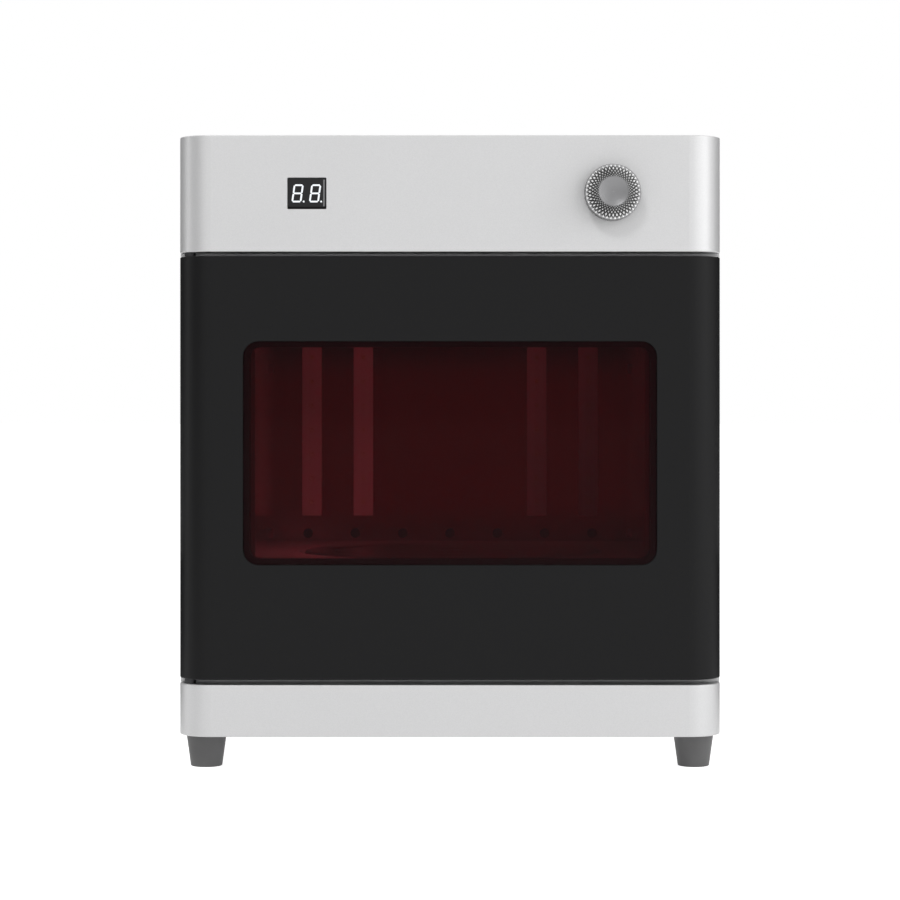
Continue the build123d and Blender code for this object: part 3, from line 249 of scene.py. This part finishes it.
def lamp(name, place, size, power, aim=(0, 0, top_z / 2)):
    """A rectangular soft lamp, turned to a place on the unit."""
    light = bpy.data.lights.new(name, "AREA")
    light.shape = "RECTANGLE"
    light.size, light.size_y = size
    light.energy = power
    made = bpy.data.objects.new(name, light)
    made.location = place
    made.rotation_euler = (Vector(aim) - made.location).to_track_quat("-Z", "Y").to_euler()
    made.visible_camera = False
    bpy.context.scene.collection.objects.link(made)
    return made


lamp("broad_lamp", around(46, 2.6, 1.0), (2.0, 2.0), 14.3)
lamp("key_lamp", around(-20, 2.2, 2.3), (0.7, 0.5), 20)
lamp("right_strip", around(66, 1.5, 0.7), (0.35, 1.0), 2.7)
lamp("left_strip", around(-86, 1.45, 0.4), (0.22, 1.2), 1.1)
lamp("top_lamp", (0.2, 0.4, 2.3), (1.6, 1.6), 4)
chamber_low, chamber_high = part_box("reflector")
fill_inset, fill_drop = 0.02, 0.012             # from the chamber's mouth and from its top
lamp_y, lamp_z = chamber_low.y + fill_inset, chamber_high.z - fill_drop
for name, x, power, spread, aim in (
        ("wall_fill", 0.03, 0.058, 110, (-0.075, chamber_high.y, chamber_high.z - 0.04)),
        ("floor_fill", -0.03, 0.075, 90, (-0.06, lamp_y + 0.08, chamber_low.z))):
    fill = lamp(name, (x, lamp_y, lamp_z), (0.03, 0.012), power, aim)
    fill.data.spread = math.radians(spread)
    fill.visible_glossy = False


# ------------------------------------------------------------- painted casing
# Folded steel sheet with a fine silver powder coat: the base tray, the side panels,
# the rear panel, the frame behind the door and the lid of the top housing.
def powder_coat(name, colour, roughness, flake, metallic=0.0):
    """Baked powder paint: a fine orange peel, with flakes lighter and darker by a share."""
    dark = tuple(c * (1 - flake) for c in colour)
    light = tuple(min(c * (1 + flake), 1) for c in colour)
    finish = Finish(name, colour, roughness, metallic)
    cloud = finish.grain(45 * mm, 3)
    finish.give(colour=finish.mix(dark, light, finish.flakes(0.35 * mm) * 0.7 + cloud * 0.3))
    peel = finish.grain(0.9 * mm, 3)
    finish.give(roughness=roughness - 0.05 + peel * 0.06 + cloud * 0.04)
    finish.relief(peel, 0.012 * mm)
    return finish


def dress(finish, *nodes):
    """Give CAD nodes their finish."""
    for name in nodes:
        for material_slot in frame["nodes"][name].material_slots:
            material_slot.material = finish.material


silver_paint = powder_coat("silver_paint", (0.68, 0.68, 0.685), 0.42, 0.04, metallic=0.35)
silver_paint.give(specular=0.3)
dress(silver_paint, "base_tray", "top_cover", "side_panel_left", "side_panel_right", "rear_panel",
      "front_frame")


# -------------------------------------------------------------------- the feet
# Four tapered feet of black rubber, each held by a screw from below whose head sits
# up inside the foot.
def moulded(name, colour, roughness, texture, depth):
    """Moulded rubber or plastic with a fine spark-eroded skin."""
    finish = Finish(name, colour, roughness)
    skin = finish.grain(texture, 4)
    cloud = finish.grain(12 * mm, 2)
    darker = tuple(c * 0.82 for c in colour)
    lighter = tuple(c * 1.15 for c in colour)
    finish.give(colour=finish.mix(darker, lighter, cloud * 0.6 + skin * 0.4))
    finish.give(roughness=roughness - 0.06 + skin * 0.12)
    finish.relief(skin, depth)
    return finish


foot_rubber = moulded("foot_rubber", (0.185, 0.184, 0.185), 0.52, 0.5 * mm, 0.04 * mm)
foot_rubber.give(specular=0.2)
dress(foot_rubber, "foot_front_left", "foot_rear_left", "foot_front_right", "foot_rear_right")


# ------------------------------------------------------------------ the screws
# Plated steel screws, pan-headed with a cross slot, that hold the feet, the casing,
# the chamber and the door's inner parts.
def plated(name, colour, roughness, speck):
    """Plated or bare metal, with a faint play of shades from crystal to crystal."""
    finish = Finish(name, colour, roughness, 1.0)
    crystal = finish.flakes(speck)
    haze = finish.grain(3 * mm, 3)
    darker = tuple(c * 0.80 for c in colour)
    finish.give(colour=finish.mix(darker, colour, crystal * 0.5 + haze * 0.5))
    finish.give(roughness=roughness - 0.06 + haze * 0.16)
    finish.relief(haze, 0.01 * mm)
    return finish


screw_steel = plated("screw_steel", (0.62, 0.62, 0.63), 0.30, 0.6 * mm)
dress(screw_steel, "foot_screws", "casing_screws", "chamber_screws", "door_screws")


# ------------------------------------------------------------ curing chamber
# A shelf and a roof of satin rolled sheet, with a polished aluminium sheet folded
# round both sides and the back. LED strips stand on the rear wall and a board of LEDs
# hangs from the roof, with finned heat sinks behind them.
def rolled_sheet(name, colour, roughness, lines, along):
    """Bright rolled sheet, with fine lines along the way that it was rolled."""
    finish = Finish(name, colour, roughness, 1.0)
    stretch = {"x": (0.02, 1, 1), "z": (1, 1, 0.02)}[along]
    line = finish.grain(lines, 2, stretch)
    wave = finish.grain(60 * mm, 2)
    darker = tuple(c * 0.9 for c in colour)
    finish.give(colour=finish.mix(darker, colour, line))
    finish.give(roughness=roughness - 0.02 + line * 0.05 + wave * 0.03)
    finish.relief(line * 0.1 + wave, 0.1 * mm)
    return finish


mirror_sheet = rolled_sheet("mirror_sheet", (0.66, 0.665, 0.67), 0.14, 0.6 * mm, "z")
dress(mirror_sheet, "reflector")
shelf_sheet = rolled_sheet("shelf_sheet", (0.76, 0.765, 0.77), 0.34, 0.5 * mm, "x")
shelf_sheet.give(metallic=0.45)
dress(shelf_sheet, "chamber_floor", "chamber_roof")
sink_metal = rolled_sheet("sink_metal", (0.66, 0.67, 0.68), 0.34, 0.5 * mm, "x")
dress(sink_metal, "rear_heat_sink", "roof_heat_sink")

white_board = Finish("white_board", (0.80, 0.80, 0.78), 0.35)
board_cloud = white_board.grain(4 * mm, 3)
white_board.give(colour=white_board.mix((0.74, 0.74, 0.71), (0.84, 0.84, 0.83), board_cloud))
white_board.relief(board_cloud, 0.02 * mm)
dress(white_board, "led_strips", "roof_led_board")


def finished(name, shape, body, slot, *finishes):
    """Make a bmesh into a smooth-shaded piece that rides on a body."""
    mesh = bpy.data.meshes.new(name)
    shape.to_mesh(mesh)
    shape.free()
    for finish in finishes:
        mesh.materials.append(finish.material)
    piece = bpy.data.objects.new(name, mesh)
    bpy.context.scene.collection.objects.link(piece)
    mesh.shade_smooth()
    mesh.set_sharp_from_angle(angle=math.radians(35))
    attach(piece, body)
    return piece


chip_size = 3.5 * mm
chip_body = 0.96 * mm           # the package, without the dome
chip_wall = 0.45 * mm
cup_slope, cup_deep = 0.2 * mm, 0.3 * mm
dome_radius, dome_z = 1.1 * mm, 0.648 * mm
chip_pitch = 15 * mm
strip_pitch = 32 * mm
strip_edge = 6 * mm             # from an outer strip's middle to its edge
roof_columns, roof_rows = 5, 4
chip_white = moulded("chip_white", (0.78, 0.77, 0.72), 0.4, 0.5 * mm, 0.01 * mm)
phosphor = moulded("phosphor", (0.80, 0.66, 0.12), 0.25, 0.4 * mm, 0.01 * mm)
phosphor.give(coat_weight=0.6)


def add_chip(shape, place, turn):
    """A white package with a cup, and a phosphor dome in the cup."""
    box = bmesh.ops.create_cube(shape, size=1)["verts"]
    bmesh.ops.scale(shape, verts=box, vec=(chip_size, chip_size, chip_body))
    bmesh.ops.translate(shape, verts=box, vec=(0, 0, chip_body / 2))
    faces = {f for v in box for f in v.link_faces}
    bmesh.ops.recalc_face_normals(shape, faces=list(faces))
    lid = [f for f in faces if f.calc_center_median().z > chip_body * 0.9]
    rim = bmesh.ops.inset_region(shape, faces=lid, thickness=chip_wall, depth=0)["faces"]
    cup = bmesh.ops.inset_region(shape, faces=lid, thickness=cup_slope, depth=-cup_deep)["faces"]
    dome = bmesh.ops.create_uvsphere(shape, u_segments=12, v_segments=6, radius=dome_radius)["verts"]
    bmesh.ops.scale(shape, verts=dome, vec=(1, 1, 0.5))
    bmesh.ops.translate(shape, verts=dome, vec=(0, 0, dome_z))
    for face in {f for v in dome for f in v.link_faces}:
        face.material_index = 1
    whole = set(box) | set(dome) | {v for f in rim + cup for v in f.verts}
    bmesh.ops.transform(shape, matrix=Matrix.Translation(place) @ turn, verts=list(whole))


strips_low, strips_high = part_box("led_strips")
roof_low, roof_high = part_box("roof_led_board")
chips = bmesh.new()
strip_half = strips_high.x - strip_edge
column_count = int((strips_high.z - strips_low.z) / chip_pitch)
for x in (-strip_half, strip_pitch - strip_half, strip_half - strip_pitch, strip_half):
    for i in range(column_count):
        z = (strips_low.z + strips_high.z) / 2 + (i - (column_count - 1) / 2) * chip_pitch
        add_chip(chips, (x, strips_low.y, z), Matrix.Rotation(math.radians(90), 4, "X"))
roof_w, roof_l = (roof_high.x - roof_low.x), (roof_high.y - roof_low.y)
for i in range(roof_columns):
    for j in range(roof_rows):
        x = (i - (roof_columns - 1) / 2) * roof_w / roof_columns
        y = (roof_low.y + roof_high.y) / 2 + (j - (roof_rows - 1) / 2) * roof_l / roof_rows
        add_chip(chips, (x, y, roof_low.z), Matrix.Rotation(math.radians(180), 4, "X"))
led_domes = finished("led_domes", chips, "housing", "led_yellow", chip_white, phosphor)
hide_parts("led_chips")


# ------------------------------------------------------------- the turntable
# A turned aluminium platter on a hub, with a brass bush in the well and a flat geared
# motor under it. The lathe leaves fine rings. The motor's zinc plate is also on the
# decks, the strike plates and the cage of the mains supply.
def turned(name, colour, roughness, pitch, middle, way="Z"):
    """Metal turned on a lathe about an axis, with the tool's fine rings."""
    finish = Finish(name, colour, roughness, 1.0)
    across = {"Z": ("X", "Y"), "Y": ("X", "Z")}[way]
    a, b = (finish.axis(letter, middle) for letter in across)
    radius = (a * a + b * b) ** 0.5
    ring = finish.node("ShaderNodeTexNoise", {"noise_dimensions": "1D"},
                       {"W": radius / pitch, "Scale": 1.0, "Detail": 3})
    haze = finish.grain(8 * mm, 2)
    darker = tuple(c * 0.82 for c in colour)
    finish.give(colour=finish.mix(darker, colour, ring))
    finish.give(roughness=roughness - 0.05 + ring * 0.08 + haze * 0.05)
    finish.relief(ring, 0.02 * mm)
    return finish


platter_low, platter_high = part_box("turntable_platter")
table_middle = (0, (platter_low.y + platter_high.y) / 2, 0)
platter_metal = turned("platter_metal", (0.72, 0.73, 0.74), 0.28, 0.4 * mm, table_middle)
dress(platter_metal, "turntable_platter", "platter_hub", "table_shaft")
brass = turned("brass_bush", (0.70, 0.50, 0.22), 0.30, 0.3 * mm, table_middle)
dress(brass, "table_bush", "inlet_pins")
zinc_steel = plated("zinc_steel", (0.60, 0.61, 0.62), 0.36, 5 * mm)
dress(zinc_steel, "table_motor", "power_supply", "strike_plates", "base_deck", "top_deck")


# -------------------------------------------------------------------- the door
# A folded black skin with a liner behind it. The red acrylic pane sits between
# them in a moulded collar, on foam tape, and a rubber seal rings the liner.
black_paint = powder_coat("black_paint", (0.010, 0.010, 0.0105), 0.42, 0.10)
black_paint.give(specular=0.12)
dress(black_paint, "door_shell", "door_liner")
black_plastic = moulded("black_plastic", (0.020, 0.020, 0.021), 0.45, 0.6 * mm, 0.03 * mm)
dress(black_plastic, "finger_scoop", "window_surround", "fan_frame", "fan_rotor", "inlet_module",
      "power_rocker", "encoder_body", "interlock_switch")
foam = moulded("foam_tape", (0.015, 0.015, 0.015), 0.9, 0.3 * mm, 0.1 * mm)
dress(foam, "window_gasket")
white_acetal = moulded("white_acetal", (0.72, 0.72, 0.70), 0.42, 0.8 * mm, 0.01 * mm)
dress(white_acetal, "hinge_blocks", "interlock_plunger", "encoder_plunger")
pin_steel = plated("blackened_steel", (0.06, 0.06, 0.062), 0.45, 1 * mm)
dress(pin_steel, "hinge_pins")
magnet_nickel = plated("magnet_nickel", (0.70, 0.68, 0.64), 0.16, 2 * mm)
dress(magnet_nickel, "catch_magnets")

red_acrylic = Finish("red_acrylic", (0.030, 0.004, 0.007), 0.05)
red_acrylic.give(specular=0.42)
red_clear = red_acrylic.node("ShaderNodeBsdfTransparent", None, {"Color": (0.45, 0.15, 0.172)})
red_mix = red_acrylic.node("ShaderNodeMixShader", None, {
    0: 0.12,
    1: red_clear,
    2: Flow(red_acrylic, red_acrylic.shader.outputs[0]),
})
red_acrylic.tree.links.new(red_mix.socket, red_acrylic.tree.nodes["Material Output"].inputs["Surface"])
dress(red_acrylic, "door_window")


def rounded_run(shape, profile, width, height, radius, steps=8):
    """Carry a profile, drawn at the bottom's left end, round a rectangle with round corners."""
    half_w, half_h = width / 2 - radius, height / 2 - radius
    spots = ((half_w, -half_h, (2 * half_w, 0, 0)), (half_w, half_h, (0, 0, 2 * half_h)),
             (-half_w, half_h, (-2 * half_w, 0, 0)), (-half_w, -half_h, (0, 0, -2 * half_h)))
    edges = profile
    for x, z, run in spots:
        made = bmesh.ops.extrude_edge_only(shape, edges=edges)["geom"]
        verts = [g for g in made if isinstance(g, bmesh.types.BMVert)]
        bmesh.ops.translate(shape, verts=verts, vec=run)
        edges = [g for g in made if isinstance(g, bmesh.types.BMEdge)]
        edges = [e for e in edges if all(v in verts for v in e.verts)]
        turn = bmesh.ops.spin(shape, geom=edges, cent=(x, 0, z), axis=(0, -1, 0),
                              angle=math.radians(90), steps=steps, use_duplicate=False)
        edges = [g for g in turn["geom_last"] if isinstance(g, bmesh.types.BMEdge)]
    bmesh.ops.remove_doubles(shape, verts=shape.verts, dist=0.01 * mm)
    bmesh.ops.recalc_face_normals(shape, faces=shape.faces)


# ------------------------------------------------------------- seal on the door
# One ring of black rubber with a hollow bulb, pushed onto the liner. The bulb
# meets the frame round the chamber's mouth when the door shuts.
seal_rubber = moulded("seal_rubber", (0.022, 0.022, 0.023), 0.6, 0.7 * mm, 0.03 * mm)
seal_low, seal_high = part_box("door_seal")
seal_w, seal_h = seal_high.x - seal_low.x, seal_high.z - seal_low.z
seal_deep = seal_high.y - seal_low.y
seal_across = 5 * mm
seal_flat, seal_foot = 0.2, 1.15        # where the bulb turns flat, and how far its foot spreads
seal = bmesh.new()
bulb = bmesh.ops.create_circle(seal, cap_ends=False, segments=20, radius=0.5)["verts"]
bmesh.ops.rotate(seal, verts=bulb, cent=(0, 0, 0), matrix=Matrix.Rotation(math.radians(90), 3, "Y"))
bmesh.ops.scale(seal, verts=bulb, vec=(1, seal_deep, seal_across))
for v in bulb:
    if v.co.y < -seal_flat * seal_deep:
        v.co.y = -0.5 * seal_deep
        v.co.z *= seal_foot
seal_radius = 9 * mm
bmesh.ops.translate(seal, verts=bulb, vec=(seal_radius - seal_w / 2, 0, seal_across / 2 - seal_h / 2))
rounded_run(seal, list(seal.edges), seal_w, seal_h, seal_radius)
bmesh.ops.translate(seal, verts=seal.verts,
                    vec=(0, (seal_low.y + seal_high.y) / 2, (seal_low.z + seal_high.z) / 2))
door_bulb = finished("door_bulb_seal", seal, "door", "seal_rubber", seal_rubber)
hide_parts("door_seal")


# ------------------------------------------------------------ display and boards
# A two-digit module in a cut-out: dark face, white lit segments, a thin grey case edge
# at the right and a black lip below. Behind it are the green control board and the
# supply for the LEDs.
display_black = moulded("display_black", (0.012, 0.012, 0.013), 0.30, 0.4 * mm, 0.004 * mm)
display_black.give(specular=0.25)
dress(display_black, "display_module")
digit_white = Finish("digit_white", (0.30, 0.31, 0.32), 0.3)
digit_glow = digit_white.grain(1.5 * mm, 2)
digit_shade = digit_white.mix((0.85, 0.92, 1.0), (1.0, 1.0, 1.0), digit_glow)
digit_white.give(glow=digit_shade, glow_strength=0.8)
dress(digit_white, "display_digits")


def add_bar(shape, low, high, soft):
    """A bar between two corners with broken edges."""
    fresh = bmesh.ops.create_cube(shape, size=1)["verts"]
    bmesh.ops.scale(shape, verts=fresh, vec=[b - a for a, b in zip(low, high)])
    bmesh.ops.translate(shape, verts=fresh, vec=[(a + b) / 2 for a, b in zip(low, high)])
    edges = list({e for v in fresh for e in v.link_edges})
    bmesh.ops.bevel(shape, geom=edges, offset=soft, affect="EDGES", segments=2, profile=0.5,
                    material=-1)


face_low, face_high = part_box("display_module")
face_y = face_low.y
lip_tall = 1.0 * mm
lip_proud = 0.22 * mm
edge_in, edge_wide, edge_proud = 1.45 * mm, 0.8 * mm, 0.12 * mm
edge_above, edge_below = 1.2 * mm, 0.8 * mm     # bare case under and over the edge
bar_sunk, bar_soft = 0.1 * mm, 0.05 * mm
case_edge = moulded("case_edge", (0.20, 0.20, 0.205), 0.25, 0.4 * mm, 0.004 * mm)
edge_bar = bmesh.new()
add_bar(edge_bar, (face_high.x - edge_in, face_y - edge_proud, face_low.z + edge_above),
        (face_high.x - edge_in + edge_wide, face_y + bar_sunk, face_high.z - edge_below), bar_soft)
finished("display_case_edge", edge_bar, "housing", "black_plastic", case_edge)
lip_black = moulded("lip_black", (0.003, 0.003, 0.003), 0.5, 0.4 * mm, 0.004 * mm)
lip_black.give(specular=0.1)
lip = bmesh.new()
add_bar(lip, (face_low.x, face_y - lip_proud, face_low.z),
        (face_high.x, face_y + bar_sunk, face_low.z + lip_tall), bar_soft)
finished("display_lower_lip", lip, "housing", "black_plastic", lip_black)

green_board = Finish("green_board", (0.01, 0.14, 0.06), 0.3, coat_weight=0.4)
board_face = green_board.node("ShaderNodeMapping", None, {
    "Vector": green_board.place,
    "Rotation": (math.radians(90), 0, 0),
})
trace = green_board.node("ShaderNodeTexBrick", {"offset": 0.5}, {
    "Vector": board_face,
    "Scale": 120.0,
    "Mortar Size": 0.03,
    "Color1": (0.008, 0.11, 0.05),
    "Color2": (0.012, 0.13, 0.06),
    "Mortar": (0.03, 0.24, 0.10),
})
green_board.give(colour=trace)
green_board.relief(green_board.grain(2 * mm, 3), 0.02 * mm)
dress(green_board, "control_board", "led_driver")
board_black = moulded("board_black", (0.03, 0.03, 0.035), 0.4, 0.8 * mm, 0.02 * mm)
dress(board_black, "board_parts")
spacer_steel = plated("spacer_steel", (0.66, 0.66, 0.67), 0.25, 2 * mm)
dress(spacer_steel, "encoder_shaft")
spacer_brass = plated("spacer_brass", (0.70, 0.50, 0.22), 0.30, 2 * mm)
dress(spacer_brass, "board_standoffs", "encoder_nut")


# ------------------------------------------------------------------- the knob
# Turned from aluminium bar: a smooth rim, a cone with flutes cut both ways
# round, and a dished front. Satin anodised, with painted shade deep in the flutes,
# a painted highlight on their ridges and painted shade on the near-black side.
knob_low, knob_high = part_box("knob")
knob_middle = ((knob_low.x + knob_high.x) / 2, 0, (knob_low.z + knob_high.z) / 2)
knob_radius = (knob_high.x - knob_low.x) / 2
knob_rim = 8.0 * mm             # straight part, from the knob's back
knob_dish = 8.3 * mm            # inner radius of the fluted cone
knob_ledge = 0.4 * mm
flute_depth = 0.6 * mm
edge_margin = 0.15 * mm         # a finish starts this far inside its edge
cone_foot = 0.01                # share of the cone's length
groove_shade_gain, groove_shade_start = 1.2, 0.25
satin_knob = turned("satin_knob", (0.25, 0.25, 0.255), 0.30, 0.15 * mm, knob_middle, "Y")
across_x, across_z = satin_knob.axis("X", knob_middle), satin_knob.axis("Z", knob_middle)
cone_start = (0, knob_high.y - knob_rim, 0)
up_the_cone = satin_knob.axis("Y", cone_start) * (-1 / (knob_high.y - knob_rim - knob_low.y))
cone_radius = (knob_radius - knob_ledge) - up_the_cone * (knob_radius - knob_ledge - knob_dish)
out_from_axis = (across_x * across_x + across_z * across_z) ** 0.5
sunk = (cone_radius - out_from_axis) / flute_depth
rings = Flow(satin_knob, satin_knob.shader.inputs["Base Color"].links[0].from_socket)
beyond_dish = out_from_axis > knob_dish - edge_margin
fluted = (up_the_cone > cone_foot) * beyond_dish
# Painted shade: the flutes darken with depth, and their ridges are lightened as a painted highlight.
painted_groove_shade = satin_knob.node("ShaderNodeClamp", None, {0: sunk * groove_shade_gain - groove_shade_start})
flutes_painted_light_and_shade = satin_knob.mix((0.85, 0.85, 0.855), (0.10, 0.10, 0.10), painted_groove_shade)
front = satin_knob.mix(rings, (0.35, 0.35, 0.355), beyond_dish)
front = satin_knob.mix(front, flutes_painted_light_and_shade, fluted)
# The knob's side is painted near black: painted shade.
side = out_from_axis > knob_radius - edge_margin
satin_knob.give(colour=satin_knob.mix(front, (0.05, 0.05, 0.05), side), metallic=0.7)
satin_knob.give(roughness=0.38 - beyond_dish * 0.08)
dress(satin_knob, "knob")


# ----------------------------------------------------------- guard on the fan
# Rings of bright steel wire welded onto four arms, with an eye for each screw.
guard_low, guard_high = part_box("fan_guard")
guard_z = (guard_low.z + guard_high.z) / 2
guard_y = (guard_low.y + guard_high.y) / 2
guard_wire = (guard_high.y - guard_low.y) / 2
guard_rings = [r * mm for r in (15, 22, 29, 36)]
guard_cap = 8 * mm
cap_taper = 0.92
arm_start = 0.8 * guard_cap     # the arms reach in under the cap
fan_hole_pitch = 71.5 * mm
eye_radius = 3.3 * mm
guard_steel = plated("guard_steel", (0.62, 0.63, 0.64), 0.22, 3 * mm)


def wire_ring(shape, x, z, radius):
    """A closed ring of round wire in the plane of the guard. Tags tell it from earlier rings."""
    start = bmesh.ops.create_circle(shape, cap_ends=False, segments=8, radius=guard_wire)["verts"]
    bmesh.ops.translate(shape, verts=start, vec=(radius, 0, 0))
    edges = list({e for v in start for e in v.link_edges})
    bmesh.ops.spin(shape, geom=edges, cent=(0, 0, 0), axis=(0, 1, 0), angle=math.radians(360), steps=48,
                   use_merge=True, use_duplicate=False)
    fresh = [v for v in shape.verts if not v.tag]
    bmesh.ops.translate(shape, verts=fresh, vec=(x, guard_y, z))
    for v in fresh:
        v.tag = True


guard = bmesh.new()
half_pitch = fan_hole_pitch / 2
holes = [Vector((sx * half_pitch, 0, sz * half_pitch)) for sx in (-1, 1) for sz in (-1, 1)]
for ring in guard_rings:
    wire_ring(guard, 0, guard_z, ring)
for hole in holes:
    wire_ring(guard, hole.x, guard_z + hole.z, eye_radius)
cap = bmesh.ops.create_cone(guard, cap_ends=True, segments=40, radius1=guard_cap,
                            radius2=guard_cap * cap_taper, depth=guard_wire * 2)["verts"]
bmesh.ops.rotate(guard, verts=cap, cent=(0, 0, 0), matrix=Matrix.Rotation(math.radians(90), 3, "X"))
bmesh.ops.translate(guard, verts=cap, vec=(0, guard_y, guard_z))
for hole in holes:
    length = hole.length - eye_radius - arm_start
    arm = bmesh.ops.create_cone(guard, cap_ends=True, segments=8, radius1=guard_wire,
                                radius2=guard_wire, depth=length)["verts"]
    turn = Vector((0, 0, 1)).rotation_difference(hole).to_matrix()
    bmesh.ops.rotate(guard, verts=arm, cent=(0, 0, 0), matrix=turn)
    centre = hole.normalized() * (arm_start + length / 2)
    bmesh.ops.translate(guard, verts=arm, vec=(centre.x, guard_y, guard_z + centre.z))
bmesh.ops.recalc_face_normals(guard, faces=guard.faces)
wire_guard = finished("wire_guard", guard, "housing", "screw_steel", guard_steel)
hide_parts("fan_guard")


# ------------------------------------------------------- marks on the mains rocker
# A bar and a ring, printed white on the two faces of the rocker. The rocker
# rests tipped to its off side, so both faces lean.
rocker_joint = next(j for j in frame["record"]["behaviour"]["joints"] if j["name"] == "rocker_tilt")
rocker_rest = math.radians(-rocker_joint["range_deg"][1] / 2)
rocker_vee = math.radians(16.45)        # each face leans this far from the rocker's middle
mark_out = 4.0 * mm                     # marks from the rocker's middle
mark_up = 4.6 * mm                      # and out from its pivot
ink_thick = 0.08 * mm
bar_wide, bar_tall = 0.8 * mm, 4.2 * mm
ring_radius, ring_wide = 2.1 * mm, 0.7 * mm
ink_white = moulded("ink_white", (0.80, 0.80, 0.78), 0.5, 0.3 * mm, 0.005 * mm)


def place_mark(shape, side):
    """Thicken a flat mark drawn round the origin and lay it, half sunk, on a face of the rocker."""
    bmesh.ops.recalc_face_normals(shape, faces=shape.faces)
    bmesh.ops.solidify(shape, geom=shape.faces[:], thickness=ink_thick)
    middle = sum(v.co.z for v in shape.verts) / len(shape.verts)
    bmesh.ops.translate(shape, verts=shape.verts, vec=(0, 0, -middle))
    lie = Matrix.Rotation(math.radians(-90), 4, "X")
    lean = Matrix.Rotation(side * rocker_vee, 4, "Z")
    lean = Matrix.Translation((side * mark_out, mark_up, 0)) @ lean
    tip = Matrix.Translation(rocker_joint["pos_m"]) @ Matrix.Rotation(rocker_rest, 4, "Z")
    bmesh.ops.transform(shape, matrix=tip @ lean @ lie, verts=shape.verts)
    bmesh.ops.recalc_face_normals(shape, faces=shape.faces)


on_bar = bmesh.new()
bmesh.ops.create_grid(on_bar, x_segments=1, y_segments=1, size=0.5)
bmesh.ops.scale(on_bar, verts=on_bar.verts, vec=(bar_wide, bar_tall, 1))
place_mark(on_bar, -1)
finished("on_mark", on_bar, "mains_rocker", "white_acetal", ink_white)
off_ring = bmesh.new()
bmesh.ops.create_circle(off_ring, cap_ends=True, segments=32, radius=ring_radius)
bmesh.ops.inset_region(off_ring, faces=off_ring.faces[:], thickness=ring_wide,
                       use_boundary=True)
middle_face = min(off_ring.faces, key=lambda f: max(v.co.length for v in f.verts))
bmesh.ops.delete(off_ring, geom=[middle_face], context="FACES")
place_mark(off_ring, 1)
finished("off_mark", off_ring, "mains_rocker", "white_acetal", ink_white)
